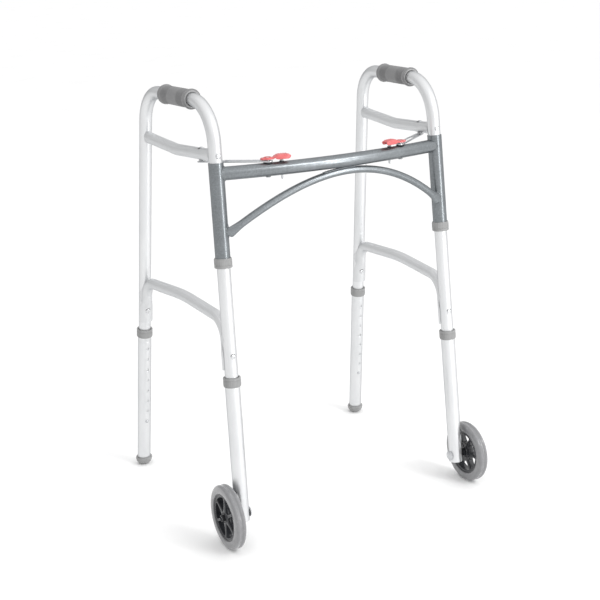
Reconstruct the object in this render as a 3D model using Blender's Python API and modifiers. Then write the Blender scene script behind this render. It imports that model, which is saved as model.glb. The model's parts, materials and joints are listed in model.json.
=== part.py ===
"""Two-button folding walker with front wheels.

Units are metres, +Z is up and the walker faces -Y.  The origin is on the floor, under the middle of
the walker's outline.  "left" is -X and "right" is +X.  Each side is one inverted-U tube whose front leg
turns in a sleeve of the front frame, so the leg is the hinge pin that the side folds about.
"""
import math

import bmesh
import bpy
from mathutils import Matrix, Vector

# Stance: where the four leg axes run
REF_Z = 0.650            # height at which the next two are taken
HALF_WIDTH = 0.2419      # front leg axis from the middle plane
DEPTH = 0.3239           # front leg axis to rear leg axis
MID_Y = 0.0031           # halfway between them, set so that the origin is mid-outline
SPLAY = 0.0227           # legs run outwards, per unit of drop
TOE = 0.055              # a side runs outwards, per unit rearwards
FRONT_LEAN = 0.0824      # front leg runs forwards, per unit of drop
REAR_LEAN = 0.1373       # rear leg runs rearwards, per unit of drop

# Tubes
GAP = 0.0003             # between pieces that touch
TUBE_R, TUBE_WALL = 0.0127, 0.0013
SLEEVE_R, SLEEVE_BORE = 0.0143, 0.0133
BRACE_R, BRACE_BORE = 0.0111, 0.0098
BAR_R, BAR_WALL = 0.0127, 0.0016
ARCH_R, ARCH_WALL = 0.0070, 0.0015
TUBE_SIDES, FINE_SIDES, SMALL_SIDES = 12, 16, 8

# Side: inverted U, two braces, grip
HANDLE_Z = 0.847
FRONT_BEND, REAR_BEND = 0.080, 0.070
INNER_LEG_END = 0.088
GRIP_FRONT, GRIP_REAR = 0.0920, 0.2055     # distance behind the front leg's reference
GRIP_R, GRIP_FLANGE_R, GRIP_BORE = 0.0176, 0.0194, 0.0133
UPPER_FRONT_Z, UPPER_KINK_Z, UPPER_REAR_Z = 0.752, 0.7445, 0.754
KINK_BACK = 0.165
LOWER_END_Z, LOWER_RIVET_Z = 0.350, 0.378
LOWER_FRONT_Z, LOWER_PEAK_Z, LOWER_REAR_Z = 0.443, 0.453, 0.441
SADDLE_OFFSET = 0.0105   # lower brace's end axis from the leg axis
SOLID_END = 0.026        # the pressed ends of a brace have no bore

# Front frame
SLEEVE_TOP, SLEEVE_BOTTOM = 0.7395, 0.5485
BAR_Z, BAR_BOW = 0.719, 0.030
ARCH_SAG, ARCH_END, ARCH_AHEAD = 0.0883, 0.2356, 0.023
ARCH_CLEAR, ARCH_SKEW = 0.0013, 0.078    # the right half stands a little fuller
COLLAR_R, COLLAR_H, COLLAR_LIP = 0.0170, 0.0185, 0.0022

# Leg extensions, buttons and feet
FRONT_EXT_TOP, FRONT_EXT_BOTTOM = 0.3345, 0.049
REAR_EXT_TOP, REAR_EXT_BOTTOM = 0.3295, 0.0095
HOLE_PITCH, HOLE_COUNT = 0.0254, 8
BUTTON_Z, BUTTON_R, BUTTON_HOLE_R = 0.112, 0.0037, 0.0043
GLIDE_R, GLIDE_H = 0.0170, 0.0225

# Wheels
WHEEL_R, TYRE_SEAT_R, TYRE_HALF = 0.0635, 0.0492, 0.0109
WHEEL_OUT, AXLE_R = 0.0294, 0.0040
BOSS_R, BOSS_HALF, WEB_HALF = 0.0125, 0.0090, 0.0040
SPOKES = 6

# Latch on each end of the crossbar
RIVET_X, PIN_X = 0.1450, 0.1180
LINK_BACK = 0.063        # link rivet behind the hinge axis
STRIP_HALF, SLOT_HALF, STRIP_LOW, STRIP_HIGH = 0.0078, 0.0038, 0.0017, 0.0044
FOLDED_REACH = 0.0440    # link rivet to guide rivet with the side folded
GUIDE_R, PIN_R = 0.0031, 0.0022
LEVER_HALF = 0.0080

ALUMINIUM = ((0.70, 0.71, 0.72), 1.0, 0.35)
HAMMERED = ((0.21, 0.225, 0.235), 0.85, 0.32)
STEEL = ((0.55, 0.56, 0.57), 1.0, 0.30)
COLLAR_GREY = ((0.27, 0.27, 0.27), 0.0, 0.45)
GRIP_GREY = ((0.20, 0.20, 0.203), 0.0, 0.57)
TYRE_GREY = ((0.20, 0.20, 0.21), 0.0, 0.25)
HUB_BLACK = ((0.02, 0.022, 0.025), 0.0, 0.25)
LEVER_RED = ((0.60, 0.125, 0.128), 0.0, 0.32)

SIDES = ((-1, "left"), (1, "right"))


# Places -----------------------------------------------------------------------------------------

def side_point(side, back, z):
    """A point in the plane of one side, 'back' behind the front leg's reference."""
    out = HALF_WIDTH + SPLAY * (REF_Z - z) + TOE * back
    return Vector((side * out, MID_Y - DEPTH / 2 + back, z))


def front_leg(side, z):
    return side_point(side, -FRONT_LEAN * (REF_Z - z), z)


def rear_leg(side, z):
    return side_point(side, DEPTH + REAR_LEAN * (REF_Z - z), z)


def frame_at(origin, z_axis, x_hint):
    """A placement whose Z runs along z_axis and whose X is as near x_hint as it can be."""
    z = z_axis.normalized()
    x = (x_hint - z * x_hint.dot(z)).normalized()
    frame = Matrix((x, z.cross(x), z)).transposed().to_4x4()
    frame.translation = origin
    return frame


def leg_frame(side, leg, z):
    """Placement on a leg's axis: Z up the leg, X across it towards the back."""
    up = leg(side, z + 0.1) - leg(side, z)
    return frame_at(leg(side, z), up, Vector((side * TOE, 1, 0)))


def bar_point(x, z=BAR_Z):
    """A point on the crossbar's centre line, which bows forwards between the sleeves."""
    sleeve = front_leg(1, z)
    return Vector((x, sleeve.y - BAR_BOW * (1 - (x / sleeve.x) ** 2), z))


def arch_point(x):
    """The arch falls from under the middle of the crossbar to the fronts of both sleeves."""
    share = (x / ARCH_END) ** 2
    ahead = BAR_BOW + (ARCH_AHEAD - BAR_BOW) * share
    top = BAR_Z - BAR_R - ARCH_R - ARCH_CLEAR
    z = top - ARCH_SAG * share + ARCH_SKEW * x * (1 - share)
    return Vector((x, front_leg(1, BAR_Z).y - ahead, z))


def latch_frame(side):
    """On top of the crossbar at the guide rivet: X runs inboard along the bar, Z is up."""
    here = bar_point(side * RIVET_X)
    inboard = bar_point(side * PIN_X) - here
    return frame_at(here + Vector((0, 0, BAR_R)), Vector((0, 0, 1)), inboard)


def pin_distance():
    return (bar_point(PIN_X) - bar_point(RIVET_X)).length


def link_point(side):
    """Where the link rivet's axis crosses the strip."""
    spot = side_point(side, LINK_BACK, UPPER_FRONT_Z)
    spot.z = BAR_Z + BAR_R + STRIP_LOW
    return spot


def upper_brace_z(back):
    """Height of the upper brace's centre line ahead of its kink."""
    start = front_leg(1, UPPER_FRONT_Z).y - front_leg(1, REF_Z).y
    share = (back - start) / (KINK_BACK - start)
    return UPPER_FRONT_Z + (UPPER_KINK_Z - UPPER_FRONT_Z) * share


def rounded_path(corners, radii, steps=6):
    """The corners joined by straight runs, with an arc of each radius at the inner ones."""
    path = [corners[0]]
    for before, corner, after, radius in zip(corners, corners[1:], corners[2:], radii):
        a = (before - corner).normalized()
        b = (after - corner).normalized()
        half = a.angle(b) / 2
        centre = corner + (a + b).normalized() * radius / math.sin(half)
        start = corner + a * radius / math.tan(half) - centre
        end = corner + b * radius / math.tan(half) - centre
        turn = math.pi - 2 * half
        across = (end - start * math.cos(turn)) / math.sin(turn)
        for i in range(steps + 1):
            angle = turn * i / steps
            path.append(centre + start * math.cos(angle) + across * math.sin(angle))
    return path + [corners[-1]]


# Making objects ---------------------------------------------------------------------------------

for old in list(bpy.data.objects):
    bpy.data.objects.remove(old)
parts = bpy.data.collections.new("front_wheeled_walker")
cutters = bpy.data.collections.new("cutters")
bpy.context.scene.collection.children.link(parts)
bpy.context.scene.collection.children.link(cutters)


def joint_empty(name, origin):
    """An empty on a joint's axis; the pieces that move together are its children."""
    empty = bpy.data.objects.new(name, None)
    empty.location = origin
    empty.empty_display_size = 0.03
    parts.objects.link(empty)
    return empty


def finish(obj, look, body=None):
    """Gives a piece its own material and hangs it on its body's empty."""
    colour, metallic, roughness = look
    material = bpy.data.materials.new(obj.name + "_finish")
    material.use_nodes = True
    shader = material.node_tree.nodes["Principled BSDF"]
    shader.inputs["Base Color"].default_value = (*colour, 1)
    shader.inputs["Metallic"].default_value = metallic
    shader.inputs["Roughness"].default_value = roughness
    obj.data.materials.append(material)
    if body:
        obj.parent = body
        obj.matrix_parent_inverse = Matrix.Translation(body.location).inverted()
    return obj


def linked(name, data, frame=None):
    obj = bpy.data.objects.new(name, data)
    if frame is not None:
        obj.matrix_world = frame
    parts.objects.link(obj)
    return obj


def turned(name, outline, frame, steps=FINE_SIDES):
    """A turned piece. The outline is (radius, height) pairs, down the outer side."""
    mesh = bpy.data.meshes.new(name)
    points = [(r, 0, z) for r, z in outline]
    edges = [(i, i + 1) for i in range(len(points) - 1)]
    if outline[0][0] > 0:
        edges.append((len(points) - 1, 0))
    mesh.from_pydata(points, edges, [])
    obj = linked(name, mesh, frame)
    screw = obj.modifiers.new("turn", "SCREW")
    screw.angle = math.tau
    screw.steps = screw.render_steps = steps
    screw.use_merge_vertices = True
    screw.merge_threshold = 0.00001
    screw.use_smooth_shade = True
    return obj


def curve_object(name, path, radius, sides, caps=True):
    curve = bpy.data.curves.new(name, "CURVE")
    curve.dimensions = "3D"
    curve.bevel_depth = radius
    curve.bevel_resolution = sides // 2 - 2
    curve.use_fill_caps = caps
    spline = curve.splines.new("POLY")
    spline.points.add(len(path) - 1)
    for point, place in zip(spline.points, path):
        point.co = (*place, 1)
    return linked(name, curve)


def as_mesh(obj):
    """The same piece as a mesh with its caps welded on."""
    evaluated = obj.evaluated_get(bpy.context.evaluated_depsgraph_get())
    mesh = bpy.data.meshes.new_from_object(evaluated)
    weld = bmesh.new()
    weld.from_mesh(mesh)
    bmesh.ops.remove_doubles(weld, verts=weld.verts, dist=0.000001)
    weld.to_mesh(mesh)
    weld.free()
    name, frame = obj.name, obj.matrix_world.copy()
    bpy.data.objects.remove(obj)
    mesh.shade_smooth()
    mesh.set_sharp_from_angle(angle=math.radians(40))
    return linked(name, mesh, frame)


def rod(name, path, radius, sides=TUBE_SIDES):
    return as_mesh(curve_object(name, path, radius, sides))


def tube(name, path, radius, wall, sides=TUBE_SIDES):
    """A bent tube, open at both ends."""
    obj = as_mesh(curve_object(name, path, radius, sides, caps=False))
    shell = obj.modifiers.new("wall", "SOLIDIFY")
    shell.thickness = wall
    shell.offset = -1
    return obj


def plate(name, outlines, half, frame):
    """A flat piece from closed outlines: the first is its edge and the others are holes."""
    curve = bpy.data.curves.new(name, "CURVE")
    curve.dimensions = "2D"
    curve.fill_mode = "BOTH"
    curve.extrude = half
    for outline in outlines:
        spline = curve.splines.new("POLY")
        spline.points.add(len(outline) - 1)
        for point, (x, y) in zip(spline.points, outline):
            point.co = (x, y, 0, 1)
        spline.use_cyclic_u = True
    return as_mesh(linked(name, curve, frame))


def slot_outline(start, end, half, steps=6):
    """A long hole or bar with round ends, between two centres on X."""
    turn = [math.pi * i / steps for i in range(steps + 1)]
    right = [(end + half * math.sin(a), -half * math.cos(a)) for a in turn]
    left = [(start - half * math.sin(a), half * math.cos(a)) for a in turn]
    return right + left


def drills(name, holes, sides=SMALL_SIDES):
    """One cutter made of cylinders, each given by its two ends and its radius."""
    body = bmesh.new()
    for start, end, radius in holes:
        frame = frame_at((start + end) / 2, end - start, Vector((0.3, 0.5, 0.8)))
        bmesh.ops.create_cone(body, cap_ends=True, segments=sides, radius1=radius,
                              radius2=radius, depth=(end - start).length, matrix=frame)
    mesh = bpy.data.meshes.new(name)
    body.to_mesh(mesh)
    body.free()
    obj = bpy.data.objects.new(name, mesh)
    cutters.objects.link(obj)
    obj.hide_render = True
    obj.display_type = "WIRE"
    return obj


def as_cutter(obj):
    parts.objects.unlink(obj)
    cutters.objects.link(obj)
    obj.hide_render = True
    obj.display_type = "WIRE"
    return obj


def cut(obj, *tools):
    for tool in tools:
        modifier = obj.modifiers.new(tool.name, "BOOLEAN")
        modifier.operation = "DIFFERENCE"
        modifier.solver = "EXACT"
        modifier.object = tool
    return obj


# Sub-parts: front frame -------------------------------------------------------------------------

def collar(name, frame):
    """A plastic ring over a tube's open end: a lip above, a counterbore below."""
    inner, seat = SLEEVE_BORE, SLEEVE_R + 0.0005
    under_lip = COLLAR_H - COLLAR_LIP
    outline = [(inner, COLLAR_H), (COLLAR_R, COLLAR_H), (COLLAR_R, 0),
               (seat, 0), (seat, under_lip), (inner, under_lip)]
    return turned(name, outline, frame)


def sleeves():
    for side, word in SIDES:
        frame = leg_frame(side, front_leg, SLEEVE_BOTTOM)
        length = (front_leg(side, SLEEVE_TOP) - front_leg(side, SLEEVE_BOTTOM)).length
        ring = [(SLEEVE_BORE, length), (SLEEVE_R, length), (SLEEVE_R, 0), (SLEEVE_BORE, 0)]
        finish(turned(word + "_sleeve_tube", ring, frame), HAMMERED)
        drop = frame @ Matrix.Translation((0, 0, COLLAR_H - COLLAR_LIP - GAP))
        flipped = drop @ Matrix.Rotation(math.pi, 4, "X")
        finish(collar(word + "_sleeve_collar", flipped), COLLAR_GREY)


def sleeve_cope(name):
    """Cuts tube ends to the shape of both sleeves."""
    reach = [(front_leg(side, 0.80), front_leg(side, 0.52), SLEEVE_R + GAP) for side, _ in SIDES]
    return drills(name, reach, FINE_SIDES)


def front_frame():
    cope = sleeve_cope("sleeve_cope")
    end = front_leg(1, BAR_Z).x
    path = [bar_point(end * (i / 5 - 1)) for i in range(11)]
    bar = tube("crossbar_tube", path, BAR_R, BAR_WALL)
    down = Vector((0, 0, BAR_R + 0.01))
    holes = []
    for side, _ in SIDES:
        for x, radius in ((RIVET_X, GUIDE_R), (PIN_X, PIN_R)):
            spot = bar_point(side * x)
            holes.append((spot - down, spot + down, radius + 0.0006))
    finish(cut(bar, cope, drills("crossbar_holes", holes)), HAMMERED)
    path = [arch_point(ARCH_END * (i / 8 - 1)) for i in range(17)]
    finish(cut(tube("arch_brace", path, ARCH_R, ARCH_WALL, 10), cope), HAMMERED)


# Sub-parts: latch -------------------------------------------------------------------------------

def guide_rivet(side, word, body):
    """Turns in the crossbar, guides the slotted strip and holds the lever down."""
    bottom = -2 * BAR_R - GAP
    outline = [(0, 0.0098), (0.0050, 0.0096), (0.0050, 0.0082), (GUIDE_R, 0.0082),
               (GUIDE_R, 0.0013), (0.0075, 0.0013), (0.0075, 0.0003), (GUIDE_R, 0.0003),
               (GUIDE_R, bottom), (0.0060, bottom), (0.0052, bottom - 0.0022),
               (0, bottom - 0.0026)]
    obj = turned(word + "_guide_rivet", outline, latch_frame(side), 10)
    return finish(obj, STEEL, body)


def lever_outline():
    """Side view of the rocker: a low arm over the rivet and a raised thumb paddle inboard."""
    under = [(-0.0130, 0.0056), (0.0105, 0.0056), (0.0160, 0.0088), (0.0400, 0.0098),
             (0.0420, 0.0110)]
    top = [(0.0426, 0.0132), (0.0400, 0.0150), (0.0270, 0.0152), (0.0160, 0.0134),
           (0.0105, 0.0104), (-0.0130, 0.0104), (-0.0145, 0.0080)]
    return under + top


def release_lever(side, word, body):
    frame = latch_frame(side)
    stand = frame @ Matrix.Rotation(math.pi / 2, 4, "X")
    lever = plate(word + "_release_lever", [lever_outline()], LEVER_HALF, stand)
    origin = frame.translation
    up = Vector((0, 0, 1))
    hole = drills(word + "_lever_hole", [(origin, origin + up * 0.02, 0.0046)], 10)
    seat = drills(word + "_lever_seat", [(origin + up * 0.0074, origin + up * 0.02, 0.0064)], 10)
    return finish(cut(lever, hole, seat), LEVER_RED, body)


def lock_pin(side, word, body):
    """Guide pin under the paddle: it runs down through the crossbar with a spring round it."""
    tip = -2 * BAR_R - 0.0070
    outline = [(0, 0.0086), (0.0040, 0.0086), (0.0040, 0.0076), (PIN_R, 0.0076),
               (PIN_R, tip + 0.0008), (0.0014, tip), (0, tip)]
    frame = latch_frame(side) @ Matrix.Translation((pin_distance(), 0, 0))
    return finish(turned(word + "_lock_pin", outline, frame, SMALL_SIDES), STEEL, body)


def pin_spring(side, word):
    """A short coil between the crossbar and the pin's head."""
    turns, per_turn, wire, coil = 3, 6, 0.00035, 0.0032
    low, high = 0.0010, 0.0069
    frame = latch_frame(side) @ Matrix.Translation((pin_distance(), 0, 0))
    path = []
    for i in range(turns * per_turn + 1):
        angle = math.tau * i / per_turn
        height = low + (high - low) * i / (turns * per_turn)
        path.append(frame @ Vector((coil * math.cos(angle), coil * math.sin(angle), height)))
    return finish(rod(word + "_pin_spring", path, wire, 6), STEEL)


def strip_frame(side):
    """X runs along the slotted strip from the link rivet to the guide rivet."""
    start = link_point(side)
    end = latch_frame(side).translation
    run = Vector((end.x - start.x, end.y - start.y, 0))
    return frame_at(start, Vector((0, 0, 1)), run), run.length


def link_strip(side, word, body):
    frame, reach = strip_frame(side)
    half = (STRIP_HIGH - STRIP_LOW) / 2
    outer = slot_outline(-0.001, reach + 0.002, STRIP_HALF)
    slot = slot_outline(FOLDED_REACH, reach, SLOT_HALF)
    raised = frame @ Matrix.Translation((0, 0, half))
    return finish(plate(word + "_link_strip", [outer, slot], half, raised), STEEL, body)


def link_rivet(side, word, body):
    """Rivet through the upper brace; its foot stands just above the strip."""
    spot = side_point(side, LINK_BACK, upper_brace_z(LINK_BACK))
    foot = BAR_Z + BAR_R + STRIP_HIGH + 0.0006 - spot.z
    over, under = BRACE_R + 0.0005, -BRACE_R - 0.0006
    outline = [(0, over + 0.0020), (0.0034, over + 0.0016), (0.0050, over), (0.0026, over),
               (0.0026, under), (0.0055, under), (0.0055, foot), (0, foot)]
    frame = frame_at(spot, Vector((0, 0, 1)), Vector((0, 1, 0)))
    return finish(turned(word + "_link_rivet", outline, frame, SMALL_SIDES), STEEL, body)


# Sub-parts: folding side ------------------------------------------------------------------------

def rivet(name, frame, length, body):
    """Dome-headed rivet: the head is on +Z and the shank runs down -Z."""
    outline = [(0, 0.0020), (0.0034, 0.0014), (0.0048, 0), (0.0022, 0), (0.0022, -length),
               (0, -length)]
    return finish(turned(name, outline, frame, SMALL_SIDES), ALUMINIUM, body)


def rivet_places(side):
    """Name, frame under the head and shank length of each rivet that holds a brace."""
    seat = TUBE_R + GAP
    through = 2 * TUBE_R
    saddle = SADDLE_OFFSET + BRACE_R
    spots = (("upper_front_rivet", front_leg, UPPER_FRONT_Z, -1, seat, through + 0.0085),
             ("upper_rear_rivet", rear_leg, UPPER_REAR_Z, 1, seat, through + 0.0085),
             ("lower_front_rivet", front_leg, LOWER_RIVET_Z, -1, seat, through + 0.0080),
             ("lower_rear_rivet", rear_leg, LOWER_RIVET_Z, -1, saddle + GAP,
              saddle + TUBE_R + 0.0010))
    for name, leg, z, sign, reach, length in spots:
        frame = leg_frame(side, leg, z)
        out = frame.to_3x3() @ Vector((sign, 0, 0))
        yield name, frame_at(frame.translation + out * reach, out, Vector((0, 0, 1))), length


def rivet_holes(side, word):
    holes = []
    for _, frame, length in rivet_places(side):
        out = frame.to_3x3() @ Vector((0, 0, 1))
        start = frame.translation + out * 0.004
        holes.append((start, frame.translation - out * (length + 0.0006), 0.0028))
    return drills(word + "_rivet_holes", holes)


def leg_cope(side, word):
    """Shapes the brace ends to the legs."""
    reach = [(leg(side, 0.80), leg(side, 0.30), TUBE_R + GAP) for leg in (front_leg, rear_leg)]
    return drills(word + "_leg_cope", reach, FINE_SIDES)


def side_tube(side, word, body, rivets):
    corners = [front_leg(side, INNER_LEG_END), front_leg(side, HANDLE_Z),
               rear_leg(side, HANDLE_Z), rear_leg(side, INNER_LEG_END)]
    obj = tube(word + "_side_tube", rounded_path(corners, (FRONT_BEND, REAR_BEND)),
               TUBE_R, TUBE_WALL)
    buttons = []
    for leg, sign in ((front_leg, 1), (rear_leg, -1)):
        frame = leg_frame(side, leg, BUTTON_Z)
        reach = frame.to_3x3() @ Vector((sign * 0.02, 0, 0))
        buttons.append((frame.translation, frame.translation + reach, BUTTON_HOLE_R))
    return finish(cut(obj, rivets, drills(word + "_leg_button_holes", buttons)), ALUMINIUM, body)


def brace(name, corners, radii, bore, body, *tools):
    """A brace tube with pressed, solid ends and a bore between them."""
    obj = rod(name, rounded_path(corners, radii, 5), BRACE_R)
    hollow = as_cutter(rod(name + "_bore", bore, BRACE_BORE, SMALL_SIDES))
    return finish(cut(obj, *tools, hollow), ALUMINIUM, body)


def upper_brace(side, word, body, rivets, cope):
    corners = [front_leg(side, UPPER_FRONT_Z), side_point(side, KINK_BACK, UPPER_KINK_Z),
               rear_leg(side, UPPER_REAR_Z)]
    first = corners[0] + (corners[1] - corners[0]).normalized() * SOLID_END
    last = corners[2] + (corners[1] - corners[2]).normalized() * SOLID_END
    bore = [first, corners[1], last]
    spot = side_point(side, LINK_BACK, upper_brace_z(LINK_BACK))
    up = Vector((0, 0, 0.02))
    link = drills(word + "_link_hole", [(spot - up, spot + up, 0.0032)])
    return brace(word + "_upper_brace", corners, (0.15,), bore, body, cope, rivets, link)


def lower_brace(side, word, body, rivets, cope):
    """An inverted U whose pressed ends run down the facing sides of both legs."""
    def near(leg, z, sign):
        here = leg(side, z)
        return side_point(side, here.y - (MID_Y - DEPTH / 2) + sign * SADDLE_OFFSET, z)

    peak = side_point(side, KINK_BACK, LOWER_PEAK_Z)
    front = near(front_leg, LOWER_FRONT_Z, 1)
    rear = near(rear_leg, LOWER_REAR_Z, -1)
    corners = [near(front_leg, LOWER_END_Z, 1), front, peak, rear, near(rear_leg, LOWER_END_Z, -1)]
    bore = [front + (peak - front).normalized() * 0.045, peak,
            rear + (peak - rear).normalized() * 0.045]
    drain = drills(word + "_drain", [(peak - Vector((0, 0, 0.02)), peak, 0.0020)])
    return brace(word + "_lower_brace", corners, (0.044, 0.60, 0.040), bore, body, cope, rivets,
                 drain)


def hand_grip(side, word, body):
    """A soft sleeve on the handle, with a flange at each end."""
    start, end = (side_point(side, back, HANDLE_Z) for back in (GRIP_FRONT, GRIP_REAR))
    length = (end - start).length
    outline = [(GRIP_BORE, length), (GRIP_FLANGE_R - 0.001, length),
               (GRIP_FLANGE_R, length - 0.002), (GRIP_FLANGE_R - 0.0005, length - 0.006),
               (GRIP_R - 0.0008, length - 0.012), (GRIP_R, length / 2), (GRIP_R - 0.0008, 0.012),
               (GRIP_FLANGE_R - 0.0005, 0.006), (GRIP_FLANGE_R, 0.002),
               (GRIP_FLANGE_R - 0.001, 0), (GRIP_BORE, 0)]
    frame = frame_at(start, end - start, Vector((0, 0, 1)))
    return finish(turned(word + "_hand_grip", outline, frame), GRIP_GREY, body)


def snap_button(name, frame, sign, body):
    """Spring button in the inner leg; its dome stands out through the extension's hole."""
    outline = [(0, 0.0163), (0.0022, 0.0158), (BUTTON_R, 0.0144), (BUTTON_R, 0.0096),
               (0.0046, 0.0096), (0.0046, 0.0086), (0, 0.0086)]
    out = frame.to_3x3() @ Vector((sign, 0, 0))
    up = frame.to_3x3() @ Vector((0, 0, 1))
    return finish(turned(name, outline, frame_at(frame.translation, out, up), SMALL_SIDES),
                  STEEL, body)


# Sub-parts: leg extensions, glides and wheels ---------------------------------------------------

def leg_extension(name, side, leg, top, bottom, sign, body, more=()):
    """A tube that slides on the inner leg, with a row of holes for the button."""
    length = (leg(side, top) - leg(side, bottom)).length
    ring = [(SLEEVE_BORE, length), (SLEEVE_R, length), (SLEEVE_R, 0), (SLEEVE_BORE, 0)]
    frame = leg_frame(side, leg, bottom)
    obj = turned(name, ring, frame)
    up = frame.to_3x3() @ Vector((0, 0, 1))
    across = frame.to_3x3() @ Vector((sign * 0.02, 0, 0))
    first = leg(side, BUTTON_Z)
    holes = []
    for i in range(HOLE_COUNT):
        here = first + up * HOLE_PITCH * i
        holes.append((here, here + across, BUTTON_HOLE_R))
    return finish(cut(obj, drills(name + "_holes", holes + list(more))), ALUMINIUM, body)


def leg_collar(name, side, leg, top, body):
    frame = leg_frame(side, leg, top) @ Matrix.Translation((0, 0, COLLAR_LIP + GAP - COLLAR_H))
    return finish(collar(name, frame), COLLAR_GREY, body)


def glide_cap(side, word, body):
    """A cup on the rear leg's end, cut flat where it meets the floor."""
    frame = leg_frame(side, rear_leg, 0)
    floor_in = (rear_leg(side, REAR_EXT_BOTTOM) - rear_leg(side, 0)).length - GAP
    seat = SLEEVE_R + 0.0005
    outline = [(0, floor_in), (seat, floor_in), (seat, GLIDE_H), (GLIDE_R - 0.0006, GLIDE_H),
               (GLIDE_R, 0.014), (0.0165, 0.0085), (0.0145, 0.0042), (0.0115, 0.0012),
               (0.0085, -0.003), (0, -0.003)]
    obj = turned(word + "_rear_glide_cap", outline, frame)
    low = bmesh.new()
    bmesh.ops.create_cube(low, size=0.08, matrix=Matrix.Translation(rear_leg(side, 0)
                                                                   - Vector((0, 0, 0.04))))
    mesh = bpy.data.meshes.new(word + "_floor_cut")
    low.to_mesh(mesh)
    low.free()
    block = as_cutter(linked(word + "_floor_cut", mesh))
    return finish(cut(obj, block), COLLAR_GREY, body)


def wheel_frame(side):
    """At the wheel's centre, Z outwards along the axle."""
    axle = front_leg(side, WHEEL_R)
    out = Vector((side, 0, 0))
    return frame_at(axle + out * WHEEL_OUT, out, Vector((0, 0, 1)))


def spoke_window(angle):
    """One gap between spokes: a sector with flat ends."""
    inner, outer, steps = BOSS_R + 0.0065, TYRE_SEAT_R - 0.0090, 4
    spread_in, spread_out = math.radians(15), math.radians(23)
    arc_out = [(outer, angle - spread_out + 2 * spread_out * i / steps) for i in range(steps + 1)]
    arc_in = [(inner, angle + spread_in), (inner, angle - spread_in)]
    return [(r * math.cos(a), r * math.sin(a)) for r, a in arc_out + arc_in]


def wheel(side, word, body):
    frame = wheel_frame(side)
    rim, seat = TYRE_SEAT_R, TYRE_HALF - 0.0012
    bore = AXLE_R + 0.0005
    outline = [(bore, BOSS_HALF), (BOSS_R, BOSS_HALF), (BOSS_R + 0.001, WEB_HALF),
               (rim - 0.006, WEB_HALF), (rim - 0.004, seat), (rim, seat), (rim, -seat),
               (rim - 0.004, -seat), (rim - 0.006, -WEB_HALF), (BOSS_R + 0.001, -WEB_HALF),
               (BOSS_R, -BOSS_HALF), (bore, -BOSS_HALF)]
    hub = turned(word + "_wheel_hub", outline, frame, 24)
    windows = [spoke_window(math.tau * (i + 0.5) / SPOKES) for i in range(SPOKES)]
    gaps = as_cutter(plate(word + "_hub_windows", windows, 0.02, frame))
    finish(cut(hub, gaps), HUB_BLACK, body)
    inner = rim + GAP + 0.0006
    ring = [(inner, TYRE_HALF - 0.001), (WHEEL_R - 0.007, TYRE_HALF), (WHEEL_R - 0.0025, 0.0085),
            (WHEEL_R, 0.0040), (WHEEL_R, -0.0040), (WHEEL_R - 0.0025, -0.0085),
            (WHEEL_R - 0.007, -TYRE_HALF), (inner, -TYRE_HALF + 0.001)]
    finish(turned(word + "_tyre", ring, frame, 32), TYRE_GREY, body)


def axle(side, word, body):
    """Shoulder bolt from the inner face of the leg, with a spacer and a lock nut."""
    frame = wheel_frame(side)
    face_in, face_out = -WHEEL_OUT - SLEEVE_R - GAP, BOSS_HALF + 0.0004
    bolt = [(0, face_out + 0.0068), (AXLE_R, face_out + 0.0062), (AXLE_R, face_in),
            (0.0105, face_in), (0.0090, face_in - 0.0028), (0, face_in - 0.0046)]
    finish(turned(word + "_axle_bolt", bolt, frame, 12), STEEL, body)
    hexagon = (AXLE_R + GAP) / math.cos(math.pi / 6)
    nut = [(hexagon, face_out + 0.0055), (0.0064, face_out + 0.0055),
           (0.0075, face_out + 0.0045), (0.0075, face_out), (hexagon, face_out)]
    finish(turned(word + "_axle_nut", nut, frame, 6), STEEL, body)
    bore, near, far = AXLE_R + 0.0005, -WHEEL_OUT + SLEEVE_R + GAP, -BOSS_HALF - 0.0004
    spacer = [(bore, far), (0.0080, far), (0.0080, near), (bore, near)]
    finish(turned(word + "_wheel_spacer", spacer, frame, 12), HUB_BLACK, body)


# Assembly ---------------------------------------------------------------------------------------

def latch(side, word, side_body):
    frame = latch_frame(side)
    swivel = joint_empty(word + "_guide_axis", frame.translation)
    rocker = joint_empty(word + "_lever_axis", frame @ Vector((0, 0, 0.008)))
    slider = joint_empty(word + "_pin_axis", frame @ Vector((pin_distance(), 0, 0)))
    guide_rivet(side, word, swivel)
    release_lever(side, word, rocker)
    lock_pin(side, word, slider)
    pin_spring(side, word)
    link_strip(side, word, swivel)
    link_rivet(side, word, side_body)


def legs(side, word, side_body):
    for leg, end, top, bottom, sign in ((front_leg, "front", FRONT_EXT_TOP, FRONT_EXT_BOTTOM, 1),
                                        (rear_leg, "rear", REAR_EXT_TOP, REAR_EXT_BOTTOM, -1)):
        name = word + "_" + end
        body = joint_empty(name + "_slide", leg(side, bottom))
        spot = leg_frame(side, leg, BUTTON_Z)
        snap_button(name + "_snap_button", spot, sign, side_body)
        axle_hole = ()
        if end == "front":
            centre, out = leg(side, WHEEL_R), Vector((0.02, 0, 0))
            axle_hole = ((centre - out, centre + out, AXLE_R + 0.0006),)
        leg_extension(name + "_leg_extension", side, leg, top, bottom, sign, body, axle_hole)
        leg_collar(name + "_leg_collar", side, leg, top, body)
        if end == "rear":
            glide_cap(side, word, body)
        else:
            axle(side, word, body)
            wheel(side, word, joint_empty(word + "_wheel_axle", wheel_frame(side).translation))


def folding_side(side, word):
    body = joint_empty(word + "_fold_axis", front_leg(side, BAR_Z))
    rivets, cope = rivet_holes(side, word), leg_cope(side, word)
    side_tube(side, word, body, rivets)
    upper_brace(side, word, body, rivets, cope)
    lower_brace(side, word, body, rivets, cope)
    hand_grip(side, word, body)
    for name, frame, length in rivet_places(side):
        rivet(word + "_" + name, frame, length, body)
    latch(side, word, body)
    legs(side, word, body)


sleeves()
front_frame()
for hand, hand_word in SIDES:
    folding_side(hand, hand_word)
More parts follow.
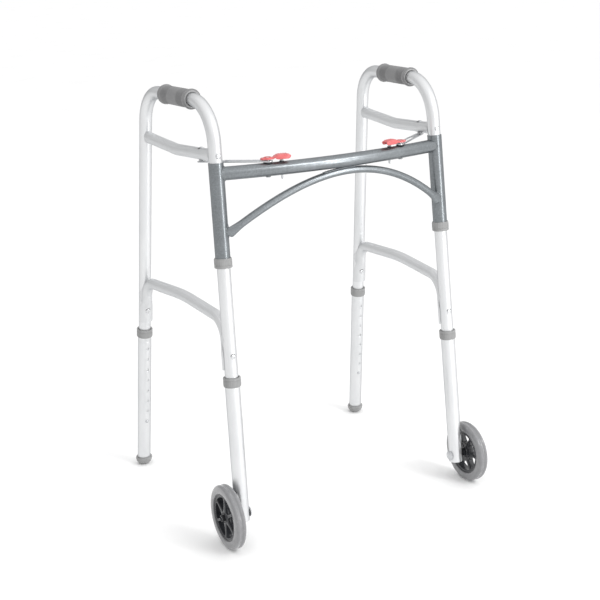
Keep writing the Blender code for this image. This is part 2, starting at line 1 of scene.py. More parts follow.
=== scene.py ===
"""Looks of the folding front wheeled walker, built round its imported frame.

Metres, +Z up.  The walker faces -Y and "left" is -X.  The legs' axes, the wheels' centres and the
levers' rivets come from the frame; the sizes below are those of the parts themselves.
"""
import json
from math import ceil, copysign, cos, exp, pi, radians, sin, sqrt, tan, tau

import bmesh
import bpy
from mathutils import Matrix, Vector


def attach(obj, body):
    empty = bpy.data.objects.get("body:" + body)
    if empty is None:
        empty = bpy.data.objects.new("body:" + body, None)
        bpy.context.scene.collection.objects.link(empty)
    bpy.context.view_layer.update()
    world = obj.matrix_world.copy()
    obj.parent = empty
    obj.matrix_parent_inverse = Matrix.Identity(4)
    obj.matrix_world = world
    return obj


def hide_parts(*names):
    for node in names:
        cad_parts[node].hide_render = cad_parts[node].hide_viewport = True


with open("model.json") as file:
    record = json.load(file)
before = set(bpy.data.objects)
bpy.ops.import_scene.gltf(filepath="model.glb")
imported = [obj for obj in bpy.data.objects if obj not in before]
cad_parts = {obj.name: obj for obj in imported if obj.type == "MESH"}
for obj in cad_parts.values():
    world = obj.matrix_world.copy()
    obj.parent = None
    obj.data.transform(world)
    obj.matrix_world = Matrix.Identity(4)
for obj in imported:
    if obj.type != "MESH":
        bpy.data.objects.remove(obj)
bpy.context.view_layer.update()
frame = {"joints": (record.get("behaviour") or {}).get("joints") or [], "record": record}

JOINTS = {joint["name"]: joint for joint in frame["joints"]}
MOUNTS = {mount["name"]: mount for mount in frame["record"]["mounts"]}
SIDES = {"left": -1, "right": 1}
ACROSS, BACK, UP = Vector((1, 0, 0)), Vector((0, 1, 0)), Vector((0, 0, 1))

# Camera: turned and raised about the walker, and a little tilted
CAMERA_AZIMUTH, CAMERA_ELEVATION, CAMERA_ROLL = -27.91, 16.75, -2.21
CAMERA_DISTANCE, CAMERA_LENS = 2.483, 71.46
CAMERA_TARGET = Vector((-0.0059, -0.0157, 0.4040))

# Tubes
REF_Z = 0.650
SHARP_EDGE = radians(32)
TUBE_R, TUBE_WALL = 0.0127, 0.0013
SLEEVE_R, SLEEVE_BORE = 0.0143, 0.0133
BRACE_R, BAR_R, ARCH_R = 0.0111, 0.0127, 0.0070
TOUCH = 0.0001                     # a fit without play

# Side: inverted U, two braces, grip
HANDLE_Z = 0.847
FRONT_BEND, REAR_BEND = 0.080, 0.070
INNER_LEG_END = 0.088
GRIP_FRONT, GRIP_REAR = 0.0920, 0.2055
GRIP_R, GRIP_FLANGE_R, GRIP_BORE = 0.0173, 0.0194, 0.0131
UPPER_FRONT_Z, UPPER_KINK_Z, UPPER_REAR_Z = 0.752, 0.7445, 0.754
KINK_BACK = 0.165
LOWER_END_Z, LOWER_RIVET_Z = 0.350, 0.378
LOWER_FRONT_Z, LOWER_PEAK_Z, LOWER_REAR_Z = 0.443, 0.453, 0.441
LOWER_BENDS = (0.044, 0.60, 0.040)
SADDLE_OFFSET, SADDLE_THICK = 0.0105, 0.0040
SADDLE_SPREAD, SADDLE_END, SADDLE_BLEND = radians(74), 0.058, 0.030

# Front frame
SLEEVE_TOP, SLEEVE_BOTTOM = 0.7395, 0.5485
BAR_Z, BAR_BOW, BAR_END_GAP = 0.719, 0.030, 0.0075
ARCH_SAG, ARCH_END, ARCH_AHEAD = 0.0883, 0.2356, 0.023
ARCH_CLEAR, ARCH_SKEW, TONGUE_RUN = 0.0013, 0.078, 0.036
COLLAR_R, COLLAR_H, COLLAR_LIP = 0.0170, 0.0185, 0.0022

# Legs, feet and wheels
# Sliding legs: top, bottom, and the side of the holes (1 is the back, -1 the front)
LEGS = {"front": (0.3345, 0.049, 1), "rear": (0.3295, 0.0095, -1)}
HOLE_PITCH, HOLE_COUNT = 0.0254, 8
EXT_BORE, BUTTON_Z, BUTTON_R, BUTTON_HOLE_R = 0.0129, 0.112, 0.0037, 0.0039
GLIDE_R, GLIDE_H, GLIDE_DIP = 0.0182, 0.0200, 0.0042
WHEEL_R, TYRE_HALF, RIM_R = 0.0635, 0.0109, 0.0490
WHEEL_OUT, AXLE_R, BOSS_R, BOSS_HALF, SPOKES = 0.0294, 0.0040, 0.0125, 0.0090, 6
NUT_FLAT = 0.0065

# Latch
PIN_X = 0.1180
LINK_BACK = 0.063
STRIP_HALF, SLOT_HALF, STRIP_LOW, STRIP_HIGH = 0.0078, 0.0038, 0.0017, 0.0044
FOLDED_REACH = 0.0440
GUIDE_R, PIN_R = 0.0031, 0.0022
LEVER_HEEL, LEVER_TIP, LEVER_YAW = -0.0140, 0.0420, radians(6)


# Places ---------------------------------------------------

def on_leg(word, end, z):
    """A point on a leg's axis. The front leg is the fold hinge; the rear one stands on its mount."""
    spot = JOINTS[word + "_fold"]["pos_m"] if end == "front" else MOUNTS[word + "_glide_floor"]["pos_m"]
    up = Vector(JOINTS[f"{word}_{end}_leg_slide"]["axis"])
    return Vector(spot) + up * ((z - spot[2]) / up.z)


def side_point(word, back, z):
    """A point in the plane of both legs, 'back' behind the front leg's place at REF_Z."""
    front, rear = on_leg(word, "front", z), on_leg(word, "rear", z)
    y = on_leg(word, "front", REF_Z).y + back
    return front + (rear - front) * (y - front.y) / (rear.y - front.y)


def way(placed, x=0, y=0, z=0):
    """A direction that is given in a placement."""
    return placed.to_3x3() @ Vector((x, y, z))


def frame_at(origin, z_axis, x_hint):
    """A placement whose Z runs along z_axis and whose X is as near x_hint as it can be."""
    z = z_axis.normalized()
    x = (x_hint - z * x_hint.dot(z)).normalized()
    placed = Matrix((x, z.cross(x), z)).transposed().to_4x4()
    placed.translation = origin
    return placed


def leg_frame(word, end, z):
    """Placement on a leg's axis: Z up the leg, X across it towards the back."""
    across = on_leg(word, "rear", REF_Z) - on_leg(word, "front", REF_Z)
    return frame_at(on_leg(word, end, z), on_leg(word, end, z + 0.1) - on_leg(word, end, z), across)


def bar_point(x, z=BAR_Z):
    """A point on the crossbar's centre line, which bows forwards between the sleeves."""
    sleeve = on_leg("right", "front", z)
    return Vector((x, sleeve.y - BAR_BOW * (1 - (x / sleeve.x) ** 2), z))


def arch_point(x):
    """The arch falls from under the middle of the crossbar to the fronts of both sleeves."""
    share = (x / ARCH_END) ** 2
    ahead = BAR_BOW + (ARCH_AHEAD - BAR_BOW) * share
    top = BAR_Z - BAR_R - ARCH_R - ARCH_CLEAR
    z = top - ARCH_SAG * share + ARCH_SKEW * x * (1 - share)
    return Vector((x, on_leg("right", "front", BAR_Z).y - ahead, z))


def latch_frame(word):
    """On top of the crossbar at the guide rivet: X runs inboard along the bar, Z is up."""
    rivet = Vector(JOINTS[word + "_guide_turn"]["pos_m"])
    return frame_at(rivet, UP, bar_point(SIDES[word] * PIN_X) - bar_point(rivet.x))


def link_point(word):
    """Where the link rivet's axis crosses the strip."""
    spot = side_point(word, LINK_BACK, UPPER_FRONT_Z)
    spot.z = BAR_Z + BAR_R + STRIP_LOW
    return spot


def upper_brace_z(back):
    """Height of the upper brace's axis before its kink."""
    start = on_leg("right", "front", UPPER_FRONT_Z).y - on_leg("right", "front", REF_Z).y
    share = (back - start) / (KINK_BACK - start)
    return UPPER_FRONT_Z + (UPPER_KINK_Z - UPPER_FRONT_Z) * share


def off_leg(word, end, point):
    """A leg's direction, and the offset of a point from its axis."""
    axis = (on_leg(word, end, 1) - on_leg(word, end, 0)).normalized()
    off = point - on_leg(word, end, 0.5)
    return axis, off - axis * off.dot(axis)


def rounded_path(corners, radii, steps=16):
    """The corners joined by straight runs, with an arc of each radius at the inner ones."""
    path = [corners[0]]
    for before, corner, after, radius in zip(corners, corners[1:], corners[2:], radii):
        a = (before - corner).normalized()
        b = (after - corner).normalized()
        half = a.angle(b) / 2
        centre = corner + (a + b).normalized() * radius / sin(half)
        start = corner + a * radius / tan(half) - centre
        end = corner + b * radius / tan(half) - centre
        turn = pi - 2 * half
        across = (end - start * cos(turn)) / sin(turn)
        for i in range(steps + 1):
            angle = turn * i / steps
            path.append(centre + start * cos(angle) + across * sin(angle))
    return path + [corners[-1]]


def filled_in(path, step):
    """The same path with no two points further apart than step."""
    dense = [path[0]]
    for a, b in zip(path, path[1:]):
        count = max(1, ceil((b - a).length / step))
        dense += [a.lerp(b, i / count) for i in range(1, count + 1)]
    return dense


def ease(share):
    """0 to 1, gently at both ends."""
    share = max(0.0, min(1.0, share))
    return share * share * (3 - 2 * share)


# Mesh making ----------------------------------------------
# Every mesh keeps a "grain" attribute: its points as if the piece were straight, for the materials.

def mesh_piece(name, points, faces, marks=None, placed=None):
    mesh = bpy.data.meshes.new(name)
    mesh.from_pydata(points, [], faces)
    store = mesh.attributes.new("grain", "FLOAT_VECTOR", "POINT")
    store.data.foreach_set("vector", [c for p in (marks or points) for c in p])
    tidy = bmesh.new()
    tidy.from_mesh(mesh)
    bmesh.ops.recalc_face_normals(tidy, faces=tidy.faces)
    tidy.to_mesh(mesh)
    tidy.free()
    mesh.shade_smooth()
    mesh.set_sharp_from_angle(angle=SHARP_EDGE)
    piece = bpy.data.objects.new(name, mesh)
    bpy.context.scene.collection.objects.link(piece)
    if placed is not None:
        piece.matrix_world = placed
    return piece


def bands(rings, closed):
    """Faces between rings of point numbers; a ring of one point is a pole."""
    faces = []
    pairs = list(zip(rings, rings[1:])) + ([(rings[-1], rings[0])] if closed else [])
    for a, b in pairs:
        count = max(len(a), len(b))
        for i in range(count):
            j = (i + 1) % count
            quad = [a[i % len(a)], a[j % len(a)], b[j % len(b)], b[i % len(b)]]
            faces.append(list(dict.fromkeys(quad)))
    return faces


def lathe(name, outline, placed, steps=64, wave=None):
    """A turned piece from (radius, height) pairs; it ends on the axis where the radius is 0."""
    points, rings = [], []
    for radius, height in outline:
        count = steps if radius > 0 else 1
        rings.append(range(len(points), len(points) + count))
        for i in range(count):
            angle = tau * i / count
            reach = radius + (wave(angle, radius, height) if wave else 0)
            points.append((reach * cos(angle), reach * sin(angle), height))
    return mesh_piece(name, points, bands(rings, outline[0][0] > 0), placed=placed)


def rounded(outline, radius, steps=3):
    """The outline with arcs for corners, smaller where its sides are short, and a point beside each."""
    made = []
    count = len(outline)
    for i, corner in enumerate(outline):
        here = Vector(corner)
        a = Vector(outline[i - 1]) - here
        b = Vector(outline[(i + 1) % count]) - here
        end = outline[0][0] == 0 and i in (0, count - 1)
        if end or a.angle(b) > radians(172):
            made.append(tuple(here))
            continue
        half = a.angle(b) / 2
        run = min(radius / tan(half), 0.45 * a.length, 0.45 * b.length)
        start, stop = here + a.normalized() * run, here + b.normalized() * run
        if a.length > 5 * run:
            made.append(tuple(here + a.normalized() * run * 1.6))
        for k in range(steps + 1):
            share = k / steps
            made.append(tuple(start.lerp(here, share).lerp(here.lerp(stop, share), share)))
        if b.length > 5 * run:
            made.append(tuple(here + b.normalized() * run * 1.6))
    return made


def carried(path, hint):
    """Placements along a path, each turned from the last one as little as can be."""
    placed, x = [], hint
    for i, here in enumerate(path):
        tangent = path[min(i + 1, len(path) - 1)] - path[max(i - 1, 0)]
        placed.append(frame_at(here, tangent, x))
        x = way(placed[-1], 1)
    return placed


def run_lengths(path):
    """How far along the path each of its points lies."""
    lengths = [0.0]
    for a, b in zip(path, path[1:]):
        lengths.append(lengths[-1] + (b - a).length)
    return lengths


def loft(name, places, sections, along, closed=False, ends=None):
    """A skin over sections, each a list of (x, y) in its placement. ends can replace end rings."""
    points, marks, rings = [], [], []
    for placed, section, length in zip(places, sections, along):
        rings.append(range(len(points), len(points) + len(section)))
        points += [placed @ Vector((x, y, 0)) for x, y in section]
        marks += [Vector((x, y, length)) for x, y in section]
    for index, ring in (ends or {}).items():
        for number, point in zip(rings[index], ring):
            marks[number].z += (point - points[number]).length * (1 if index else -1)
            points[number] = point
    faces = bands(rings, closed)
    if not closed:
        faces += [list(rings[0]), list(rings[-1])]
    return mesh_piece(name, points, faces, marks)


def swept(name, path, hint, sections):
    """A skin over one section for each point of a path."""
    return loft(name, carried(path, hint), sections, run_lengths(path))


def circle(radius, count):
    return [(radius * cos(tau * i / count), radius * sin(tau * i / count))
            for i in range(count)]


def soft_box(half_x, half_y, power, count):
    """A section with round corners: power 2 is an ellipse, and a higher one squarer."""
    def soft(value):
        return copysign(abs(value) ** (2 / power), value)

    return [(soft(x) * half_x, soft(y) * half_y) for x, y in circle(1, count)]


def extruded(name, outlines, thick, bevel, placed):
    """A flat piece from closed outlines: the first is its edge and the others are holes."""
    curve = bpy.data.curves.new(name, "CURVE")
    curve.dimensions = "2D"
    curve.fill_mode = "BOTH"
    curve.extrude = thick / 2 - bevel
    curve.bevel_depth = bevel
    curve.bevel_resolution = 2
    curve.offset = -bevel
    for outline in outlines:
        spline = curve.splines.new("POLY")
        spline.points.add(len(outline) - 1)
        for point, (x, y) in zip(spline.points, outline):
            point.co = (x, y, 0, 1)
        spline.use_cyclic_u = True
    shape = bpy.data.objects.new(name + "_outline", curve)
    bpy.context.scene.collection.objects.link(shape)
    bpy.context.view_layer.update()
    mesh = bpy.data.meshes.new_from_object(shape.evaluated_get(bpy.context.evaluated_depsgraph_get()))
    bpy.data.objects.remove(shape)
    mesh.transform(Matrix.Translation((0, 0, thick / 2)))
    weld = bmesh.new()
    weld.from_mesh(mesh)
    bmesh.ops.remove_doubles(weld, verts=weld.verts, dist=0.000002)
    points = [v.co.copy() for v in weld.verts]
    faces = [[v.index for v in face.verts] for face in weld.faces]
    weld.free()
    bpy.data.meshes.remove(mesh)
    return mesh_piece(name, points, faces, placed=placed)


def slot_outline(start, end, half, steps):
    """A closed outline with straight sides and half-round ends."""
    turn = [pi * i / steps for i in range(steps + 1)]
    right = [(end + half * sin(a), -half * cos(a)) for a in turn]
    left = [(start - half * sin(a), half * cos(a)) for a in turn]
    return right + left


def rod_mesh(name, path, radius):
    """A thin round wire."""
    return swept(name, path, Vector((0.31, 0.52, 0.79)), [circle(radius, 10)] * len(path))


def combined(piece, others, operation):
    """piece with a Boolean of the others applied, and its grain set from its own points."""
    for other in others:
        step = piece.modifiers.new("step", "BOOLEAN")
        step.operation = operation
        step.solver = "EXACT"
        step.object = other
    bpy.context.view_layer.update()
    shown = piece.evaluated_get(bpy.context.evaluated_depsgraph_get())
    mesh = bpy.data.meshes.new_from_object(shown)
    points = [v.co.copy() for v in mesh.vertices]
    faces = [list(face.vertices) for face in mesh.polygons]
    name, placed = piece.name, piece.matrix_world.copy()
    for old in (piece, *others):
        bpy.data.objects.remove(old)
    bpy.data.meshes.remove(mesh)
    return mesh_piece(name, points, faces, placed=placed)


def to_cylinder(point, direction, word, radius):
    """Where a line from point meets the front leg's cylinder of that radius first."""
    axis, off = off_leg(word, "front", point)
    run = direction - axis * direction.dot(axis)
    a, b, c = run.dot(run), off.dot(run), off.dot(off) - radius ** 2
    return point + direction * ((-b - sqrt(max(b * b - a * c, 0))) / a)


def push_out(piece, word, radius, ends=("front", "rear")):
    """Moves whatever of a piece would lie inside a leg out to that radius."""
    for end in ends:
        for vertex in piece.data.vertices:
            off = off_leg(word, end, vertex.co)[1]
            if off.length < radius:
                vertex.co += off.normalized() * (radius - off.length)


# Materials ------------------------------------------------

NOISE_LOW, NOISE_HIGH = 0.3, 0.7    # where nearly all of a noise lies


def add(tree, kind, inputs=None, **settings):
    """A shader node with its settings and inputs: a socket is linked and a value is set."""
    made = tree.nodes.new("ShaderNode" + kind)
    for key, value in settings.items():
        setattr(made, key, value)
    for key, value in (inputs or {}).items():
        if isinstance(value, bpy.types.NodeSocket):
            tree.links.new(value, made.inputs[key])
        else:
            made.inputs[key].default_value = value
    return made


def grain(tree, scale):
    """The piece's own straightened coordinates, scaled by one number or by one for each axis."""
    read = add(tree, "Attribute", attribute_name="grain")
    stretch = scale if isinstance(scale, tuple) else (scale, scale, scale)
    return add(tree, "VectorMath", {0: read.outputs["Vector"], 1: stretch},
               operation="MULTIPLY").outputs[0]


def noise(tree, scale, detail=3.0, roughness=0.5):
    return add(tree, "TexNoise", {"Vector": grain(tree, scale), "Scale": 1.0, "Detail": detail,
                                  "Roughness": roughness}).outputs["Fac"]


def cells(tree, scale, smooth):
    return add(tree, "TexVoronoi", {"Vector": grain(tree, scale), "Scale": 1.0, "Smoothness": smooth},
               feature="SMOOTH_F1").outputs["Distance"]


def remap(tree, value, low, high):
    """A value that runs from low to high over most of a noise's range."""
    made = add(tree, "MapRange", {"Value": value, "From Min": NOISE_LOW, "From Max": NOISE_HIGH,
                                  "To Min": low, "To Max": high})
    return made.outputs["Result"]


def ramp(tree, value, low, high):
    """A colour that runs from low to high."""
    made = add(tree, "ValToRGB", {"Fac": value})
    for element, place, colour in zip(made.color_ramp.elements, (NOISE_LOW, NOISE_HIGH), (low, high)):
        element.position, element.color = place, (*colour, 1)
    return made.outputs["Color"]


def total(tree, *pairs):
    """The weighted sum of some values."""
    result = 0.0
    for value, weight in pairs:
        made = add(tree, "Math", {0: value, 1: weight, 2: result}, operation="MULTIPLY_ADD")
        result = made.outputs[0]
    return result


def skin(tree, tone, dull, relief):
    """A surface from (value, low, high) for colour and roughness, and (height, depth, strength)."""
    height, depth, strength = relief
    raised = add(tree, "Bump", {"Height": height, "Distance": depth, "Strength": strength})
    return {"Base Color": ramp(tree, *tone), "Roughness": remap(tree, *dull),
            "Normal": raised.outputs["Normal"]}


def material(name, fixed, build):
    """A Principled material: fixed values by socket name, and what build(tree) returns."""
    made = bpy.data.materials.new(name)
    made.use_nodes = True
    tree = made.node_tree
    shader = tree.nodes["Principled BSDF"]
    for key, value in fixed.items():
        shader.inputs[key].default_value = value
    for key, socket in build(tree).items():
        tree.links.new(socket, shader.inputs[key])
    return made


def anodised(tree):
    """Drawn tube: fine die lines along it, cloudy anodising and a few handling scuffs."""
    lines = noise(tree, (1500, 1500, 5), 4.0, 0.6)
    clouds = noise(tree, (26, 26, 9))
    scuffs = noise(tree, (120, 120, 900), 5.0, 0.7)
    tone = total(tree, (lines, 0.45), (clouds, 0.55))
    dull = total(tree, (lines, 0.5), (clouds, 0.2), (scuffs, 0.3))
    return skin(tree, (tone, (0.66, 0.67, 0.68), (0.78, 0.785, 0.79)), (dull, 0.30, 0.44),
                (lines, 0.00002, 0.4))


def satin(tree):
    """Brace tube: the same drawn metal, etched duller."""
    lines = noise(tree, (1300, 1300, 6), 4.0, 0.6)
    return anodised(tree) | {"Base Color": ramp(tree, lines, (0.61, 0.62, 0.63), (0.71, 0.715, 0.72)),
                             "Roughness": remap(tree, lines, 0.44, 0.56)}


def hammered(tree):
    """Metallic hammer paint: shallow dimples a few millimetres wide, darker in their rims."""
    wobble, flakes, clouds = noise(tree, 260.0, 2.0), noise(tree, 2600.0, 2.0), noise(tree, 24.0)
    dimples = cells(tree, 330.0, 0.6)
    relief = total(tree, (dimples, 0.75), (wobble, 0.35))
    tone = total(tree, (dimples, 0.35), (flakes, 0.30), (clouds, 0.35))
    return skin(tree, (tone, (0.165, 0.178, 0.188), (0.250, 0.269, 0.281)), (flakes, 0.25, 0.36),
                (relief, 0.00012, 0.55))


def zinc(tree):
    """Zinc plate: small soft-edged spangles and light brushing."""
    spangle, brushing = cells(tree, 700.0, 0.2), noise(tree, (300, 3600, 3600))
    tone = total(tree, (spangle, 0.5), (brushing, 0.5))
    return skin(tree, (tone, (0.42, 0.43, 0.45), (0.66, 0.67, 0.68)), (brushing, 0.20, 0.38),
                (brushing, 0.00002, 0.5))


def dark_steel_and_painted_shadow(tree):
    """Oiled black steel with fine pits; also the colour of the dark rings that paint shadow beside rivet
    heads.
    """
    oil, pits = noise(tree, 420.0, 4.0), noise(tree, 4200.0, 2.0)
    return skin(tree, (oil, (0.030, 0.030, 0.033), (0.085, 0.085, 0.090)), (pits, 0.28, 0.46),
                (pits, 0.00002, 0.5))


def bright_rivet(tree):
    """Aluminium that was worked cold."""
    drawn = noise(tree, 900.0, 4.0)
    return skin(tree, (drawn, (0.56, 0.57, 0.58), (0.76, 0.765, 0.77)), (drawn, 0.20, 0.34),
                (drawn, 0.00003, 0.5))


def moulded(low, high, rough, scale=3400.0, depth=0.00003):
    """Moulded plastic: spark-eroded grain, faint flow marks and a little handling dust."""
    def build(tree):
        fine, flow = noise(tree, scale, 2.0), noise(tree, (60, 60, 22), 4.0)
        tone = total(tree, (fine, 0.3), (flow, 0.7))
        return skin(tree, (tone, low, high), (tone, *rough), (fine, depth, 0.5))
    return build


def rubbed_tyre(tree):
    """Smooth moulded tyre: a satin skin, scuffed and dusty where it runs on the floor."""
    fine, dust, scrape = noise(tree, 2400.0), noise(tree, 95.0, 5.0, 0.6), noise(tree, (700, 700, 60))
    tone = total(tree, (fine, 0.2), (dust, 0.5), (scrape, 0.3))
    return skin(tree, (tone, (0.165, 0.166, 0.172), (0.235, 0.236, 0.243)), (tone, 0.18, 0.30),
                (total(tree, (fine, 0.4), (scrape, 0.6)), 0.00003, 0.3))


LOOKS = {
    "anodised_tube": material("anodised_aluminium", {
        "Metallic": 0.95, "Specular Tint": (0.40, 0.41, 0.42, 1)}, anodised),
    "satin_tube": material("etched_aluminium", {
        "Metallic": 0.92, "Specular Tint": (0.70, 0.71, 0.72, 1)}, satin),
    "hammered_paint": material("hammered_metallic_paint", {
        "Metallic": 0.85, "Coat Weight": 0.25, "Coat Roughness": 0.08,
        "Specular Tint": (0.45, 0.45, 0.46, 1)}, hammered),
    "bright_steel": material("zinc_plated_steel", {"Metallic": 1.0}, zinc),
    "dark_steel_and_painted_shadow": material("blackened_steel_and_painted_shadow", {"Metallic": 0.9}, dark_steel_and_painted_shadow),
    "rivet_aluminium": material("driven_aluminium", {
        "Metallic": 1.0, "Specular Tint": (0.6, 0.6, 0.6, 1)}, bright_rivet),
    "grey_plastic": material("grey_moulded_plastic", {"Specular IOR Level": 0.45}, moulded(
        (0.225, 0.226, 0.226), (0.300, 0.301, 0.301), (0.36, 0.50))),
    "vinyl_grip": material("soft_vinyl", {"Specular IOR Level": 0.40, "Sheen Weight": 0.10}, moulded(
        (0.170, 0.170, 0.173), (0.225, 0.225, 0.228), (0.50, 0.64), 1900.0, 0.00006)),
    "grey_tyre": material("grey_tyre_compound", {
        "Specular IOR Level": 0.55, "Coat Weight": 0.6, "Coat Roughness": 0.12}, rubbed_tyre),
    "black_plastic": material("black_gloss_plastic", {"Specular IOR Level": 0.55}, moulded(
        (0.014, 0.015, 0.018), (0.026, 0.028, 0.032), (0.16, 0.30), 1500.0, 0.00002)),
    "red_plastic": material("coral_plastic", {"Specular IOR Level": 0.50}, moulded(
        (0.52, 0.100, 0.105), (0.66, 0.150, 0.150), (0.24, 0.38), 2200.0, 0.00002)),
    # Paler copy of the grip vinyl for the lip ring at the grip's front flange: a painted highlight of
    # light on the flange's face.
    "painted_highlight_vinyl": material("painted_highlight_vinyl", {"Specular IOR Level": 0.50}, moulded(
        (0.24, 0.24, 0.243), (0.31, 0.31, 0.313), (0.28, 0.42), 1900.0, 0.00003)),
}
SLOTS = {entry["slot"]: entry["slot"] for entry in frame["record"]["materials"]}
SLOTS |= {"satin_tube": "anodised_tube", "painted_highlight_vinyl": "vinyl_grip"}


def dress(piece, look, body, *nodes):
    """Gives a piece its finish and its body, and names the CAD nodes that it stands for."""
    piece.data.materials.append(LOOKS[look])
    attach(piece, body)
    if nodes:
        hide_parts(*nodes)


def turned(name, outline, soft, placed, steps, *finish):
    """A turned piece with its corners rounded by soft. finish is its look, body and CAD nodes."""
    dress(lathe(name, rounded(outline, soft), placed, steps), *finish)


# Front frame ----------------------------------------------

def weld_bead(name, ring, radius, pitch=0.0024):
    """A rippled bead along a closed ring of points."""
    lengths = run_lengths(ring + ring[:1])
    ripples = max(6, round(lengths[-1] / pitch))
    steps = ripples * 5
    along = [lengths[-1] * i / steps for i in range(steps)]
    path, k = [], 0
    for reach in along:
        while lengths[k + 1] < reach:
            k += 1
        share = (reach - lengths[k]) / (lengths[k + 1] - lengths[k])
        path.append(ring[k].lerp(ring[(k + 1) % len(ring)], share))
    centre = sum(ring, Vector()) / len(ring)
    places = [frame_at(here, path[(i + 1) % steps] - path[i - 1], here - centre)
              for i, here in enumerate(path)]
    sections = [circle(radius * (1 + 0.16 * cos(tau * i * ripples / steps)), 12)
                for i in range(steps)]
    dress(loft(name, places, sections, along, closed=True), "hammered_paint", "front_frame")


def arch():
    """Round tube whose ends are pressed into tongues that lie on the fronts of the sleeves."""
    path = [arch_point(ARCH_END * sin(pi * (i / 120 - 0.5))) for i in range(121)]
    places, along = carried(path, UP), run_lengths(path)
    sections = []
    for length in along:
        rest = min(length, along[-1] - length)
        press = ease(1 - rest / TONGUE_RUN)
        tip = sqrt(max(0.04, 1 - max(0.0, 1 - rest / 0.0075) ** 2))
        tall, thick = (1 + 0.50 * press) * tip, (1 - 0.66 * press) * max(tip, 0.6)
        sections.append([(x * tall, y * thick) for x, y in circle(ARCH_R, 40)])
    piece = loft("arch", places, sections, along)
    for word, side in SIDES.items():
        push_out(piece, word, SLEEVE_R + TOUCH, ("front",))
        near = [(p, s) for p, s, length in zip(places, sections, along)
                if side * p.translation.x > 0 and min(length, along[-1] - length) < 0.019][::side]
        on_sleeve = []
        for run, corner in ((near, 0), (near[::-1], 20)):
            for placed, section in run:
                point = placed @ Vector((*section[corner], 0))
                off = off_leg(word, "front", point)[1]
                on_sleeve.append(point + off.normalized() * (SLEEVE_R - off.length))
        weld_bead(f"arch_{word}_weld", on_sleeve, 0.0012)
    dress(piece, "hammered_paint", "front_frame", "arch_brace")


def crossbar():
    """The bowed bar between the sleeves, with its ends shaped to them and welded round."""
    reach = on_leg("right", "front", BAR_Z).x - SLEEVE_R - BAR_END_GAP
    path = [bar_point(reach * (i / 32 - 1)) for i in range(65)]
    places, section, ends = carried(path, UP), circle(BAR_R, 56), {}
    for index, word, step in ((0, "left", 1), (len(path) - 1, "right", -1)):
        direction = (path[index] - path[index + step]).normalized()
        rim = [places[index] @ Vector((x, y, 0)) for x, y in section]
        ends[index] = [to_cylinder(p, direction, word, SLEEVE_R - 0.0004) for p in rim]
        surface = [to_cylinder(p, direction, word, SLEEVE_R) for p in rim]
        weld_bead(f"crossbar_tube_{word}_weld", surface, 0.0013)
    bar = loft("crossbar", places, [section] * len(path), run_lengths(path), ends=ends)
    dress(bar, "hammered_paint", "front_frame", "crossbar_tube")


def arch_seams():
    """Weld seams in front of and behind the place where the arch meets the bar."""
    join = [arch_point(x * 0.001) + Vector((0, 0, ARCH_R)) for x in range(-34, 35, 2)]
    sections = [circle(0.0010 + 0.0004 * cos(i * 2.1), 10) for i in range(len(join))]
    for sign, word in ((-1, "front"), (1, "rear")):
        seam = [p + Vector((0, sign * 0.0026, -0.0002)) for p in join]
        dress(swept(f"arch_{word}_seam_weld", seam, UP, sections), "hammered_paint", "front_frame")


def sleeve(word):
    """Painted tube that the front leg turns in, with rounded rims and a collar at its foot."""
    placed = leg_frame(word, "front", SLEEVE_BOTTOM)
    length = (on_leg(word, "front", SLEEVE_TOP) - placed.translation).length
    ring = [(SLEEVE_BORE, length), (SLEEVE_R, length), (SLEEVE_R, 0), (SLEEVE_BORE, 0)]
    shape = rounded(ring, 0.0004)
    top, low = ([p for p in shape if (p[1] > length / 2) == high] for high in (True, False))
    tall = [(SLEEVE_R, length * k / 8) for k in range(7, 0, -1)]
    dress(lathe(word + "_sleeve", top + tall + low, placed, 72), "hammered_paint", "front_frame",
          word + "_sleeve_tube")
    collar(word + "_sleeve_ring", placed, -1, "front_frame", word + "_sleeve_collar")


def collar(name, placed, way, body, node):
    """Plastic ring pressed over a tube's open end: lip, sloped face, a fine groove and a round foot."""
    seat, face = SLEEVE_R + TOUCH, COLLAR_H - COLLAR_LIP
    outline = [(TUBE_R + 0.0004, COLLAR_LIP - 0.0012), (TUBE_R + 0.0014, COLLAR_LIP - 0.0004),
               (TUBE_R + 0.0018, COLLAR_LIP), (COLLAR_R - 0.0008, COLLAR_LIP),
               (COLLAR_R, COLLAR_LIP - 0.0012), (COLLAR_R, -0.0022), (COLLAR_R - 0.0006, -0.0026),
               (COLLAR_R - 0.0006, -0.0034), (COLLAR_R, -0.0038), (COLLAR_R, -face + 0.0026),
               (COLLAR_R - 0.0010, -face), (seat, -face), (seat, -0.0004), (TUBE_R + 0.0004, -0.0004)]
    outline = rounded([(r, way * z) for r, z in outline], 0.0006, 4)

    def ribs(angle, radius, height):
        inside = -face + 0.0024 < way * height < -0.0039 and radius > COLLAR_R - 0.0003
        return 0.00028 * (cos(angle * 30) - 1) if inside else 0.0

    dress(lathe(name, outline, placed, 160, ribs), "grey_plastic", body, node)


# Latch ----------------------------------------------------

def guide_rivet(word):
    """Headed pin through strip and crossbar, with a washer on the bar."""
    placed, bottom = latch_frame(word), -2 * BAR_R
    outline = [(0, 0.0099), (0.0026, 0.0098), (0.0043, 0.0093), (0.0050, 0.0086), (0.0050, 0.0082),
               (GUIDE_R, 0.0082), (GUIDE_R, 0.0015), (0.0062, 0.0015), (0.0062, 0.0009),
               (GUIDE_R, 0.0009), (GUIDE_R, bottom - 0.0002), (0.0050, bottom - 0.0004),
               (0.0047, bottom - 0.0014), (0.0030, bottom - 0.0022), (0, bottom - 0.0024)]
    turned(word + "_guide_pin", outline, 0.0005, placed, 40, "bright_steel", word + "_guide",
           word + "_guide_rivet")
    bore = GUIDE_R + 0.0002
    washer = [(bore, 0.0008), (0.0082, 0.0008), (0.0082, -0.0002), (bore, -0.0002)]
    turned(word + "_guide_washer", washer, 0.0003, placed, 48, "dark_steel_and_painted_shadow", word + "_guide")


